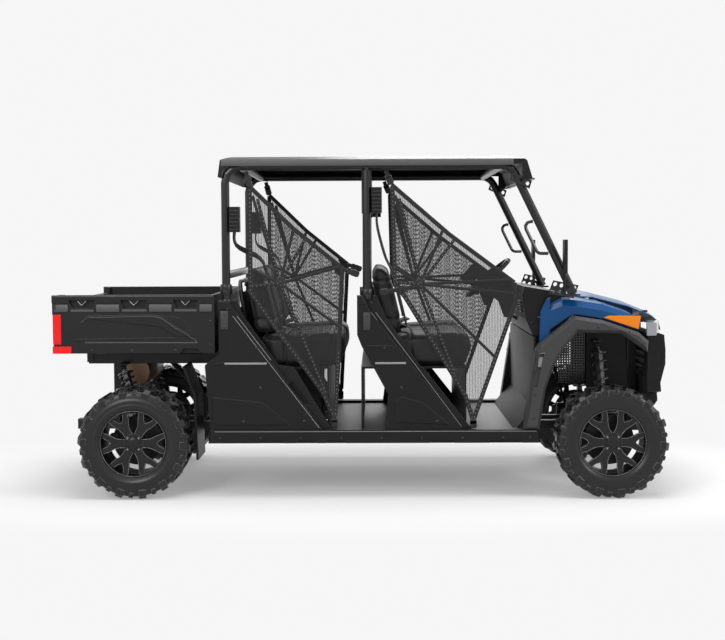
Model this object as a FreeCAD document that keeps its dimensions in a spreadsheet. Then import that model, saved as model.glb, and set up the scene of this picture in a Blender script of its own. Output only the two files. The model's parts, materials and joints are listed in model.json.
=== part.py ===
import FreeCAD, Part
import math
import os
import re
import Sketcher

# Crew side by side utility vehicle, millimetres.
# +X is forward, +Y is the driver's side, +Z is up; the origin is on the ground under the middle of the vehicle.

DOC = FreeCAD.newDocument("crew_side_by_side")
VEC = FreeCAD.Vector
DOWN_SIDE = -1
UP_SIDE = 1

# Driving dimensions. Lengths along the vehicle are shares of wheel_base and
# heights of the bodywork are shares of body_height, unless they have a name here.
SIZES = {
    "wheel_base": 2840,
    "body_height": 1215,
    "body_width": 1480,
    "overrun": 20,
    "seat_gap": 0.3,
    "moving_gap": 8,
    # wheels
    "tyre_radius": 334,
    "lug_height": 17,
    "lug_length": 44,
    "front_tyre_width": 229,
    "rear_tyre_width": 279,
    "front_track": 1384,
    "rear_track": 1334,
    "rim_radius": 200,
    "rim_wall": 12,
    "rim_inset": 16,
    "spoke_thickness": 26,
    "spoke_width": 62,
    "hub_radius": 52,
    "cap_radius": 35,
    # front corners
    "kingpin_offset": 102,
    "hub_reach": 54,
    "upright_height": 210,
    "upright_width": 40,
    "knuckle_radius": 55,
    "knuckle_length": 65,
    "ball_radius": 24,
    "ball_height": 32,
    "steer_arm": 110,
    "steer_arm_width": 34,
    "steer_arm_thickness": 16,
    "steer_arm_drop": 48,
    "tie_rod_radius": 11,
    "tie_rod_inset": 50,
    "rack_half_body": 200,
    "rack_wall": 9,
    # suspension and driveline
    "arm_tube_radius": 15,
    "arm_spread": 165,
    "arm_root": 185,
    "arm_bush_radius": 18,
    "arm_bush_length": 50,
    "arm_rise": 20,
    "bracket_skin": 8,
    "saddle_width": 30,
    "saddle_place": 470,
    "shock_eye": 18,
    "shock_radius": 26,
    "shock_rod": 11,
    "spring_radius": 44,
    "spring_wire": 7,
    "perch_skin": 8,
    "shock_lean": 60,
    "shaft_radius": 16,
    "boot_radius": 36,
    "boot_length": 70,
    "case_front": 120,
    "case_back": 78,
    "case_height": 200,
    "case_level": 430,
    "strut_place": 120,
    "strut_eye": 16,
    "strut_eye_width": 38,
    "strut_radius": 17,
    "strut_bore": 12.5,
    "strut_rod": 8,
    "strut_collar": 12,
    "strut_head_drop": 12,
    "engine_width": 480,
    "engine_height": 350,
    "muffler_radius": 94,
    "muffler_length": 520,
    # chassis
    "frame_width": 660,
    "frame_tube": 50,
    "keel_width": 300,
    "frame_bottom": 330,
    "front_rail_in": 200,
    "receiver_size": 64,
    "receiver_wall": 6,
    "receiver_depth": 190,
    "receiver_pin_inset": 60,
    "receiver_pin_radius": 8,
    "subframe_height": 30,
    "rail_height": 60,
    "tilt_pin_radius": 10,
    "running_gap": 0.05,
    "gap_at_lug": 1,
    # cab
    "floor_skin": 12,
    "panel_depth": 80,
    "panel_bevel": 34,
    "sill_depth": 90,
    "sill_overhang": 20,
    "sill_height": 79,
    "sill_pocket": 22,
    "groove": 4,
    "ridge": 6,
    "recess": 18,
    # cage
    "cage_tube": 50,
    "cage_inset": 40,
    "cage_bend": 95,
    "sleeve_skin": 5,
    # roof
    "roof_stand": 36,
    "roof_rise": 52,
    "roof_skin": 8,
    "roof_edge_depth": 32,
    "roof_pad": 40,
    # cargo box
    "box_wall": 24,
    "box_panel_depth": 28,
    "box_post": 48,
    "box_floor_skin": 15,
    "box_rail": 46,
    "box_rail_proud": 10,
    "pocket_depth": 16,
    "pocket_drop": 28,
    "pocket_height": 48,
    "tailgate_thickness": 38,
    "gate_drop": 40,
    "gate_pin_radius": 6,
    "gate_pin_inset": 6,
    "gate_pin_rise": 6,
    "gate_pin_reach": 24,
    "hook_width": 26,
    "lamp_skin": 16,
    "lamp_wrap": 32,
    # front bodywork
    "hood_width": 860,
    "flare_reach": 86,
    "flare_lap": 19,
    "flare_step": 26,
    "hood_skin": 8,
    "hinge_radius": 5,
    "hinge_length": 24,
    "fascia_width": 1000,
    "fender_inset": 50,
    "fender_skin": 8,
    "dash_inset": 100,
    "slot_height": 26,
    "lower_fascia_half": 370,
    "grille_half": 400,
    "lamp_height": 78,
    # seats
    "seat_inner": 215,
    "seat_inset": 95,
    "seat_spacing": 14,
    "seat_tube": 13,
    "frame_inset": 60,
    # steering wheel
    "wheel_rim_radius": 178,
    "wheel_rim_tube": 15,
    "column_radius": 20,
    "wheel_hub_length": 60,
    "wheel_hub_radius": 40,
    "driver_offset": 330,
    "pinion_place": 40,
    "tie_eye_radius": 15,
    "tie_eye_height": 24,
    # nets and small pieces
    "net_skin": 6,
    "plate_skin": 12,
    "plate_reach": 36,
    "plate_width": 76,
    "mirror_gap": 30,
    "mirror_width": 76,
    "stem_radius": 9,
    "handle_reach": 95,
    "handle_radius": 11,
    "handle_bend": 30,
    "reel_depth": 60,
    "reel_width": 70,
    "reel_height": 150,
    "guard_inner": 330,
    "guard_outer": 640,
}

SHEET = DOC.addObject("Spreadsheet::Sheet", "Sizes")
for row, (name, value) in enumerate(SIZES.items(), start=1):
    SHEET.set(f"A{row}", name)
    SHEET.set(f"B{row}", str(value))
    SHEET.setAlias(f"B{row}", name)
DOC.recompute()

# Sizes that follow from the ones above
FOLLOWING = {
    "cage_width": "(body_width - 2 * cage_inset)",
    "cage_top": "(1.6247 * body_height)",
    "shoulder_bar_level": "(1.0947 * body_height)",
    "bed_rail_level": "(0.715 * body_height - seat_gap - subframe_height - moving_gap - rail_height)",
    "roof_width": "(body_width)",
    "roof_edge": "(cage_top + roof_stand)",
    "fender_width": "(body_width - 2 * fender_inset)",
    "flare_inner": "(fender_width / 2 - flare_lap)",
    "flare_outer": "(fender_width / 2 + flare_reach)",
    "dash_width": "(body_width - 2 * dash_inset)",
    "seat_outer": "(body_width / 2 - seat_inset)",
    "mirror_inner": "(cage_width / 2 + mirror_gap)",
}
ALIAS = re.compile(r"\b(" + "|".join(SIZES) + r")\b")
FOLLOWER = re.compile(r"\b(" + "|".join(FOLLOWING) + r")\b")
NODES = {}
ROUND_SIDES = 12
SLIM_SIDES = 6
BEND_STEPS = 3
COIL_STEPS = 6
FLATNESS = 0.001
BEVEL_ANGLE = 35


def spelled(text):
    """The same expression in the sheet's own sizes alone."""
    while FOLLOWER.search(text):
        text = FOLLOWER.sub(lambda found: FOLLOWING[found.group()], text)
    return text


def bound(text):
    """An expression in size names, as the document's objects read it."""
    return ALIAS.sub(r"Sizes.\1", spelled(text))


def value(text):
    """The present value of an expression in size names."""
    return float(SHEET.evalExpression(spelled(text)))


class Measures:
    """Reads a size by its name."""

    def __getattr__(self, name):
        return value(name)


S = Measures()


def origin_plane(body, role):
    return next(item for item in body.Origin.OriginFeatures if item.Role == role)


def new_body(name):
    body = DOC.addObject("PartDesign::Body", name)
    body.AllowCompound = True
    return body


def sketch_on(body, name, plane, offset="0"):
    """A sketch on one of the body's own origin planes, moved along the plane's normal by offset."""
    sketch = body.newObject("Sketcher::SketchObject", name)
    sketch.AttachmentSupport = [(origin_plane(body, plane), "")]
    sketch.MapMode = "FlatFace"
    sketch.setExpression(".AttachmentOffset.Base.z", bound(offset))
    return sketch


def outline(sketch, points):
    """A closed outline whose corners are pairs of expressions."""
    start = sketch.GeometryCount
    count = len(points)
    places = [VEC(value(across), value(up), 0) for across, up in points]
    for index in range(count):
        sketch.addGeometry(Part.LineSegment(places[index], places[(index + 1) % count]), False)
    for index in range(count):
        sketch.addConstraint(Sketcher.Constraint("Coincident", start + index, 2, start + (index + 1) % count, 1))
    for index, (across, up) in enumerate(points):
        for kind, text, number in (("DistanceX", across, places[index].x), ("DistanceY", up, places[index].y)):
            constraint = sketch.addConstraint(Sketcher.Constraint(kind, -1, 1, start + index, 1, number))
            sketch.setExpression(f"Constraints[{constraint}]", bound(text))


def body_shares(shares):
    """Outline points from shares of the wheel base and of the body's height; a text stands for itself."""
    return [(across if isinstance(across, str) else f"{across} * wheel_base",
             up if isinstance(up, str) else f"{up} * body_height") for across, up in shares]


def pad(body, sketch, length, name, midplane=False, reverse=False):
    feature = body.newObject("PartDesign::Pad", name)
    feature.Profile = sketch
    feature.setExpression("Length", bound(length))
    feature.Midplane = midplane
    feature.Reversed = reverse
    sketch.Visibility = False
    return feature


def pocket(body, sketch, length, name, midplane=False, reverse=False):
    feature = body.newObject("PartDesign::Pocket", name)
    feature.Profile = sketch
    feature.setExpression("Length", bound(length))
    feature.Midplane = midplane
    feature.Reversed = reverse
    return feature


def side_panel(body, name, points, inner, outer):
    """A pad on the right-hand side from inner to outer, distances from the middle plane."""
    sketch = sketch_on(body, name + "_outline", "XZ_Plane", inner)
    outline(sketch, points)
    return pad(body, sketch, f"({outer}) - ({inner})", name)


def bevelled_panel(body, name, points, inner, outer):
    """The same with sides that slope inwards towards the outer face."""
    feature = side_panel(body, name, points, inner, outer)
    feature.TaperAngle = -BEVEL_ANGLE
    return feature


def side_cut(body, name, points, inner, outer):
    """A pocket on the right-hand side between inner and outer."""
    sketch = sketch_on(body, name + "_outline", "XZ_Plane", inner)
    outline(sketch, points)
    return pocket(body, sketch, f"({outer}) - ({inner})", name, reverse=True)


def block(name, across, side, up):
    """A box between pairs of expressions along X, Y and Z."""
    item = DOC.addObject("Part::Box", name)
    for size, place, (low, high) in (("Length", "x", across), ("Width", "y", side), ("Height", "z", up)):
        item.setExpression(size, bound(f"({high}) - ({low})"))
        item.setExpression(".Placement.Base." + place, bound(low))
    return item


def made(name, shape):
    """A shape built from the sheet's sizes with the geometry functions."""
    item = DOC.addObject("Part::Feature", name)
    item.Shape = shape
    return item


def mirrored(item):
    """The same piece on the other side of the vehicle."""
    twin = DOC.addObject("Part::Mirroring", item.Name + "_twin")
    twin.Source = item
    twin.Normal = VEC(0, 1, 0)
    return twin


def node(label, *items):
    """Registers one piece of the vehicle; several items become its separate solids."""
    item = items[0]
    if len(items) > 1:
        item = DOC.addObject("Part::Compound", label + "_set")
        item.Links = list(items)
    item.Label = label
    NODES[label] = item
    return item


def fused(name, items):
    union = DOC.addObject("Part::MultiFuse", name)
    union.Shapes = list(items)
    union.Refine = True
    return union


def rod(start, end, radius):
    """A round bar between two points."""
    span = end - start
    return Part.makeCylinder(radius, span.Length, start, span)


def disc(centre, axis, radius, thickness):
    """A round plate whose middle is at centre."""
    direction = VEC(axis).normalize()
    return Part.makeCylinder(radius, thickness, centre - direction * (thickness / 2), direction)


def solid_box(low, high):
    return Part.makeBox(high.x - low.x, high.y - low.y, high.z - low.z, low)


def across_axis(axis):
    """Two unit directions across an axis, the first of them level."""
    along = VEC(axis).normalize()
    level = VEC(0, 0, 1).cross(along)
    level = level.normalize() if level.Length > FLATNESS else VEC(1, 0, 0)
    return level, along.cross(level)


def flat(points):
    """A flat face with straight sides."""
    return Part.Face(Part.makePolygon(points + points[:1]))


def prism(points, thrust):
    """A straight solid from a flat outline and the vector it is pushed along."""
    return flat(points).extrude(thrust)


def skinned(rings):
    """A solid with flat sides through rings of points; the first and the last ring close its ends."""
    faces = [flat(rings[0]), flat(rings[-1])]
    for near, far in zip(rings, rings[1:]):
        for index in range(len(near)):
            follow = (index + 1) % len(near)
            corners = [near[index], near[follow], far[follow], far[index]]
            normal = (corners[2] - corners[0]).cross(corners[3] - corners[1]).normalize()
            if abs(normal.dot(corners[1] - corners[0])) < FLATNESS:
                faces.append(flat(corners))
            else:
                faces += [flat(corners[:3]), flat([corners[0], corners[2], corners[3]])]
    shell = Part.makeShell(faces)
    shell.sewShape()
    solid = Part.makeSolid(shell)
    return solid if solid.Volume > 0 else solid.reversed()


def loop(centre, axis, radius, sides):
    """The corners of a regular polygon about an axis."""
    first, second = across_axis(axis)
    angles = [2 * math.pi * index / sides for index in range(sides)]
    return [centre + first * (radius * math.cos(angle)) + second * (radius * math.sin(angle)) for angle in angles]


def turned(start, axis, profile, sides):
    """A faceted round solid; profile holds pairs of distance along the axis and radius."""
    along = VEC(axis).normalize()
    return skinned([loop(start + along * reach, axis, radius, sides) for reach, radius in profile])


def bar(start, end, radius, sides=SLIM_SIDES):
    """A faceted bar between two points."""
    span = end - start
    return turned(start, span, ((0, radius), (span.Length, radius)), sides)


def plate(centre, axis, radius, thickness, sides=ROUND_SIDES):
    """A faceted round plate whose middle is at centre."""
    direction = VEC(axis).normalize()
    return bar(centre - direction * (thickness / 2), centre + direction * (thickness / 2), radius, sides)


def bent_tube(points, radius, bend, sides=ROUND_SIDES):
    """A faceted tube along straight runs in one plane, joined by arcs of one radius."""
    normal = (points[1] - points[0]).cross(points[2] - points[1]).normalize()
    rings = [(points[0], (points[1] - points[0]).normalize())]
    for before, corner, after in zip(points, points[1:], points[2:]):
        into = (corner - before).normalize()
        out = (after - corner).normalize()
        turn = into.getAngle(out)
        centre = corner + (out - into).normalize() * (bend / math.cos(turn / 2))
        inward = (centre - corner + into * (bend * math.tan(turn / 2))).normalize()
        for step in range(BEND_STEPS + 1):
            angle = turn * step / BEND_STEPS
            place = centre + into * (bend * math.sin(angle)) - inward * (bend * math.cos(angle))
            rings.append((place, into * math.cos(angle) + inward * math.sin(angle)))
    rings.append((points[-1], (points[-1] - points[-2]).normalize()))
    angles = [2 * math.pi * index / sides for index in range(sides)]
    return skinned([[place + normal * (radius * math.cos(angle)) + normal.cross(tangent) * (radius * math.sin(angle))
                     for angle in angles] for place, tangent in rings])


def coil(start, end, radius, wire):
    """A spring of square wire wound between two points."""
    span = end - start
    first, second = across_axis(span)
    along = VEC(span).normalize()
    count = SPRING_TURNS * COIL_STEPS
    rings = []
    for index in range(count + 1):
        angle = 2 * math.pi * index / COIL_STEPS
        outward = first * math.cos(angle) + second * math.sin(angle)
        centre = start + span * (index / count) + outward * radius
        rings.append([centre + outward * wire, centre + along * wire, centre - outward * wire, centre - along * wire])
    return skinned(rings)


REAR_AXLE = "-0.4768 * wheel_base"
FRONT_AXLE = "0.5232 * wheel_base"


# Wheels
WHEEL_SIDES = 24
LUGS_PER_SIDE = 14
SPOKES = 6
# place across the tyre as a share of half its width, radius as a share of the carcass radius
CARCASS_SHARES = ((-0.80, 0.640), (-0.97, 0.79), (-0.93, 0.93), (-0.80, 1.0), (0.80, 1.0), (0.93, 0.93),
                  (0.97, 0.79), (0.80, 0.640))
LUG_SHARES = ((0.06, 0.92), (0.06, 1.0), (0.80, 1.0), (1.0, 0.93), (0.985, 0.83), (0.90, 0.83))
LUG_TIP_SHARE = 0.80
LUG_MIDDLE_SHARE = 0.43
LUG_SLANT_SHARE = 0.30
LUG_PHASES = {-1: 0.25, 1: 0.75}


def tyre_shape(width):
    half = width / 2
    carcass = S.tyre_radius - S.lug_height
    axis = VEC(0, 1, 0)
    body = turned(VEC(0, 0, 0), axis, [(half * across, carcass * radius) for across, radius in CARCASS_SHARES],
                  WHEEL_SIDES)
    slant = LUG_SLANT_SHARE * half
    corner = S.lug_length / 2 + slant * (LUG_TIP_SHARE - LUG_MIDDLE_SHARE)
    tip = math.sqrt(S.tyre_radius ** 2 - corner ** 2)
    bore = bar(VEC(0, -width, 0), VEC(0, width, 0), S.rim_radius + S.seat_gap, WHEEL_SIDES)
    lugs = []
    pitch = math.degrees(2 * math.pi / LUGS_PER_SIDE)
    for side in (-1, 1):
        for index in range(LUGS_PER_SIDE):
            points = [VEC(radius * tip, side * across * half, slant * (across - LUG_MIDDLE_SHARE))
                      for across, radius in LUG_SHARES]
            lug = prism(points, VEC(0, 0, S.lug_length))
            lug.translate(VEC(0, 0, -S.lug_length / 2))
            lug.rotate(VEC(0, 0, 0), axis, pitch * (index + LUG_PHASES[side]))
            lugs.append(lug)
    return body.cut(bore).fuse(lugs).removeSplitter()


# radius of the spoke's root and tip, and of the window's corners, as shares of the rim radius
SPOKE_SHARES = ((0.20, 0.62), (0.55, 0.80), (0.80, 1.25), (0.93, 1.55))
BARREL_SHARE = 0.86


def rim_shape(width, side):
    """The rim about the origin; side is +1 where the wheel's outer face looks along +Y."""
    half = width / 2 * BARREL_SHARE
    outer = S.rim_radius
    rings = [bar(VEC(0, -half, 0), VEC(0, half, 0), radius, WHEEL_SIDES) for radius in (outer, outer - S.rim_wall)]
    barrel = rings[0].cut(rings[1])
    face = side * (half - S.rim_inset)
    thrust = VEC(0, -side * S.spoke_thickness, 0)
    spokes = []
    for index in range(SPOKES):
        right = [VEC(outer * reach, face, S.spoke_width / 2 * spread) for reach, spread in SPOKE_SHARES]
        left = [VEC(point.x, face, -point.z) for point in reversed(right)]
        spoke = prism(right + left, thrust)
        spoke.rotate(VEC(0, 0, 0), VEC(0, 1, 0), math.degrees(2 * math.pi * index / SPOKES))
        spokes.append(spoke)
    hub = bar(VEC(0, face, 0), VEC(0, -side * (S.hub_reach - S.seat_gap), 0), S.hub_radius, ROUND_SIDES)
    cap = rod(VEC(0, face, 0), VEC(0, side * half, 0), S.cap_radius)
    return barrel.fuse(spokes + [hub, cap]).removeSplitter()


def build_wheels():
    places = (("front", FRONT_AXLE, S.front_track, S.front_tyre_width),
              ("rear", REAR_AXLE, S.rear_track, S.rear_tyre_width))
    for end, axle, track, width in places:
        for hand, side in (("right", -1), ("left", 1)):
            centre = VEC(value(axle), side * track / 2, S.tyre_radius)
            place = FreeCAD.Placement(centre, FreeCAD.Rotation())
            tyre = made(f"tyre_{end}_{hand}", tyre_shape(width))
            tyre.Placement = place
            node(f"tyre_{end}_{hand}", tyre)
            rim = made(f"rim_{end}_{hand}", rim_shape(width, side))
            rim.Placement = place
            node(f"rim_{end}_{hand}", rim)


# Front and rear corners
# the spring's ends, then the ends of the damper's body, as shares of the distance between its eyes
SHOCK_SHARES = (0.14, 0.86, 0.40, 0.90)
SPRING_TURNS = 5


def knuckle_shape(side, kingpin, steered):
    """A wheel carrier about its kingpin; side is +1 on the driver's side."""
    wheel_level = S.tyre_radius
    outer = side * (S.kingpin_offset - S.hub_reach)
    inner = outer - side * S.knuckle_length
    pieces = [bar(kingpin + VEC(0, inner, wheel_level), kingpin + VEC(0, outer, wheel_level), S.knuckle_radius)]
    half = S.upright_height / 2
    collar = half - S.ball_height if steered else half
    pieces.append(bar(kingpin + VEC(0, 0, wheel_level - half), kingpin + VEC(0, 0, wheel_level + collar),
                      S.upright_width / 2 - S.seat_gap))
    if steered:
        # the round collar that turns under the upper ball joint
        pieces.append(rod(kingpin + VEC(0, 0, wheel_level + collar), kingpin + VEC(0, 0, wheel_level + half),
                          S.upright_width / 2))
        # seen from above: pairs of distance behind the kingpin and inboard of it
        reach, inset, wide = S.steer_arm + S.steer_arm_width / 2, S.tie_rod_inset, S.steer_arm_width / 2
        plan = ((reach, inset - wide), (reach, inset + wide), (wide, inset + wide), (-wide, wide), (-wide, 0),
                (wide, 0), (S.steer_arm / 2, inset - wide))
        level = wheel_level - S.steer_arm_drop - S.steer_arm_thickness / 2
        points = [kingpin + VEC(-behind, -side * inboard, level) for behind, inboard in plan]
        pieces.append(prism(points, VEC(0, 0, S.steer_arm_thickness)))
    return pieces[0].fuse(pieces[1:]).removeSplitter()


def arm_pair(side, axle, track):
    """The lower and upper wishbone of one corner."""
    ball = VEC(axle, side * (track / 2 - S.kingpin_offset), 0)
    shapes = []
    for sense in (DOWN_SIDE, UP_SIDE):
        ball_level = S.tyre_radius + sense * (S.upright_height / 2 + S.seat_gap + S.ball_height / 2)
        root_level = ball_level - S.arm_rise if sense > 0 else ball_level + S.arm_rise
        centre = ball + VEC(0, 0, ball_level)
        pieces = [plate(centre, (0, 0, 1), S.ball_radius, S.ball_height, SLIM_SIDES)]
        for spread in (-S.arm_spread, S.arm_spread):
            root = VEC(axle + spread, side * S.arm_root, root_level)
            pieces.append(bar(root, centre, S.arm_tube_radius))
            pieces.append(plate(root, (1, 0, 0), S.arm_bush_radius, S.arm_bush_length, SLIM_SIDES))
        if sense > 0:
            share = (track / 2 - S.kingpin_offset - S.saddle_place) / (track / 2 - S.kingpin_offset - S.arm_root)
            reach = S.arm_spread * share + S.arm_tube_radius
            low = VEC(axle - reach, side * S.saddle_place - S.saddle_width / 2, ball_level - S.ball_height / 2)
            high = VEC(axle + reach, side * S.saddle_place + S.saddle_width / 2, saddle_level())
            pieces.append(solid_box(low, high))
        shapes.append(pieces[0].fuse(pieces[1:]).removeSplitter())
    return shapes


def saddle_level():
    """Height of the seat on the upper wishbone that the shock stands on."""
    return S.tyre_radius + S.upright_height / 2 + S.seat_gap + S.ball_height + S.seat_gap


def shock_shapes(bottom, top):
    """A shock absorber between the centres of its two eyes, and the spring around it."""
    span = top - bottom
    along = VEC(span).normalize()
    low, high, start, end = (share * span.Length for share in SHOCK_SHARES)
    slim, thick, perch = S.shock_rod, S.shock_radius, S.spring_radius + S.spring_wire
    profile = ((0, slim), (low - S.perch_skin, slim), (low - S.perch_skin, perch), (low, perch), (low, slim),
               (start, slim), (start, thick), (high, thick), (high, perch), (high + S.perch_skin, perch),
               (high + S.perch_skin, thick), (end, thick), (end, slim), (span.Length, slim))
    damper = turned(bottom, span, profile, SLIM_SIDES)
    eyes = [plate(eye, (1, 0, 0), S.shock_eye, S.shock_radius, SLIM_SIDES) for eye in (bottom, top)]
    clear = S.spring_wire + S.seat_gap
    spring = coil(bottom + along * (low + clear), bottom + along * (high - clear), S.spring_radius, S.spring_wire)
    return [damper.fuse(eyes).removeSplitter(), spring]


def build_corners():
    front, rear = value(FRONT_AXLE), value(REAR_AXLE)
    for hand, side in (("right", -1), ("left", 1)):
        kingpin = VEC(front, side * (S.front_track / 2 - S.kingpin_offset), 0)
        node(f"knuckle_front_{hand}", made(f"knuckle_front_{hand}", knuckle_shape(side, kingpin, True)))
    rear_knuckles = []
    for side in (-1, 1):
        kingpin = VEC(rear, side * (S.rear_track / 2 - S.kingpin_offset), 0)
        rear_knuckles.append(knuckle_shape(side, kingpin, False))
    node("rear_knuckles", made("rear_knuckles", Part.makeCompound(rear_knuckles)))
    for end, axle, track in (("front", front, S.front_track), ("rear", rear, S.rear_track)):
        arms = []
        for side in (-1, 1):
            arms += arm_pair(side, axle, track)
        node(f"control_arms_{end}", made(f"control_arms_{end}", Part.makeCompound(arms)))
    shocks = []
    for side in (-1, 1):
        foot = saddle_level() + S.seat_gap + S.shock_eye
        front_top = VEC(front - S.shock_lean / 2, side * (S.saddle_place - S.shock_lean),
                        value(TOWER_LEVEL) - S.seat_gap - S.shock_eye)
        shocks += shock_shapes(VEC(front, side * S.saddle_place, foot), front_top)
        rear_top = VEC(rear - 2 * S.shock_lean, side * (S.saddle_place - S.shock_lean),
                       value(REAR_TOWER_LEVEL) - S.seat_gap - S.shock_eye)
        shocks += shock_shapes(VEC(rear - S.shock_lean / 2, side * S.saddle_place, foot), rear_top)
    node("shocks", made("shocks", Part.makeCompound(shocks)))
    cases = []
    for axle, track in ((front, S.front_track), (rear, S.rear_track)):
        half = S.keel_width / 2 - S.frame_tube - S.seat_gap
        inner = VEC(axle, 0, S.case_level)
        case = solid_box(inner - VEC(S.case_back, half, S.case_height / 2),
                         inner + VEC(S.case_front, half, S.case_height / 2))
        pieces = []
        for side in (-1, 1):
            tip = VEC(axle, side * (track / 2 - S.kingpin_offset - S.knuckle_radius), S.tyre_radius)
            along = (tip - inner).normalize()
            pieces.append(bar(inner, tip, S.shaft_radius))
            boot = ((0, S.shaft_radius + S.perch_skin), (S.boot_length, S.boot_radius))
            pieces.append(turned(tip - along * S.boot_length, along, boot, ROUND_SIDES))
        cases.append(case.fuse(pieces).removeSplitter())
    node("driveline", made("driveline", Part.makeCompound(cases)))


# Chassis: each member is a box between expressions along X, Y and Z; those in PAIRS are repeated on the other side
FRAME_TOP = "frame_bottom + frame_tube"
FLOOR_BOTTOM = "frame_bottom + frame_tube + seat_gap"
FLOOR_LEVEL = "frame_bottom + frame_tube + seat_gap + floor_skin"
SILL_TOP = "frame_bottom + sill_height"
BED_RAIL_TOP = "bed_rail_level + rail_height"
BACK = "-0.317 * wheel_base"
FRONT = "0.385 * wheel_base"
STAND = "-0.560 * wheel_base"
REAR_END = "-0.6532 * wheel_base"
RAIL_END = "-0.602 * wheel_base"
TILT_PIN = "-0.598 * wheel_base"
TILT_LEVEL = "bed_rail_level + rail_height / 2"
NOSE = "0.615 * wheel_base"
TOWER = "0.502 * wheel_base"
TOWER_LEVEL = "0.745 * body_height"
STRUT_FOOT = "-0.368 * wheel_base"
STRUT_FOOT_LEVEL = "0.420 * body_height"
RAIL_SIDE = ("frame_width / 2 - frame_tube", "frame_width / 2")
KEEL_SIDE = ("keel_width / 2 - frame_tube", "keel_width / 2")
FRONT_RAIL_SIDE = ("front_rail_in", "front_rail_in + frame_tube")
LOW = ("frame_bottom", FRAME_TOP)
SILL_INNER = "body_width / 2 + sill_overhang - sill_depth"
SHOCK_TOP_SIDE = "saddle_place - shock_lean + shock_eye"
REAR_SHOCK_TOP = "-0.4768 * wheel_base - 2 * shock_lean"
REAR_TOWER_LEVEL = "bed_rail_level"
ON_RAILS = f"{FRAME_TOP} + seat_gap"
UNDER_BED_RAIL = "bed_rail_level - seat_gap"
UNDER_TOWER = f"{TOWER_LEVEL} - seat_gap"
UPPER = (TOWER_LEVEL, f"{TOWER_LEVEL} + frame_tube")
FRAME_PAIRS = (
    ("rail", (BACK, FRONT), RAIL_SIDE, LOW),
    ("front_keel", (f"{FRONT} + seat_gap", NOSE), KEEL_SIDE, LOW),
    ("rear_keel", (STAND, f"{BACK} - seat_gap"), KEEL_SIDE, LOW),
    ("rear_post", (BACK, f"{BACK} + frame_tube"), RAIL_SIDE, (ON_RAILS, UNDER_BED_RAIL)),
    ("rear_stand", (STAND, f"{STAND} + frame_tube"), KEEL_SIDE, (ON_RAILS, UNDER_BED_RAIL)),
    ("front_post", (f"{FRONT} - frame_tube", FRONT), FRONT_RAIL_SIDE, (ON_RAILS, UNDER_TOWER)),
    ("upper_rail", (f"{FRONT} - frame_tube", NOSE), FRONT_RAIL_SIDE, UPPER),
    ("nose_post", (f"{NOSE} - frame_tube", NOSE), KEEL_SIDE, (ON_RAILS, UNDER_TOWER)),
    ("nose_wing", (f"{NOSE} - frame_tube", NOSE), ("keel_width / 2 + seat_gap", "front_rail_in + frame_tube"), LOW),
    ("tower", (TOWER, f"{TOWER} + frame_tube"), ("front_rail_in + frame_tube + seat_gap", SHOCK_TOP_SIDE),
     (TOWER_LEVEL, f"{TOWER_LEVEL} + bracket_skin")),
    ("rear_tower", (f"{REAR_SHOCK_TOP} - shock_radius", f"{REAR_SHOCK_TOP} + shock_radius"),
     ("frame_width / 2 + seat_gap", SHOCK_TOP_SIDE), (REAR_TOWER_LEVEL, f"{REAR_TOWER_LEVEL} + bracket_skin")),
)
BETWEEN_RAILS = "frame_width / 2 - frame_tube - seat_gap"
BETWEEN_KEELS = "keel_width / 2 - frame_tube - seat_gap"
FRAME_CROSSES = (
    ("rear_cross", (STAND, f"{STAND} + frame_tube"), BETWEEN_RAILS,
     ("bed_rail_level", "bed_rail_level + frame_tube")),
    ("stand_foot", (STAND, f"{STAND} + frame_tube"), BETWEEN_KEELS, LOW),
    ("strut_cross", (f"{STRUT_FOOT} - frame_tube / 2", f"{STRUT_FOOT} + frame_tube / 2"), BETWEEN_KEELS, LOW),
    ("back_cross", (BACK, f"{BACK} + frame_tube"), BETWEEN_RAILS, LOW),
    ("front_cross", (f"{FRONT} - frame_tube", FRONT), BETWEEN_RAILS, LOW),
    ("nose_cross", (f"{NOSE} - frame_tube", NOSE), "front_rail_in - seat_gap", UPPER),
    ("nose_foot", (f"{NOSE} - frame_tube", NOSE), BETWEEN_KEELS, LOW),
)
CROSS_SHARES = (-0.190, -0.060, 0.200)
OUTRIGGER_SHARES = (-0.275, -0.030, 0.315)


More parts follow.
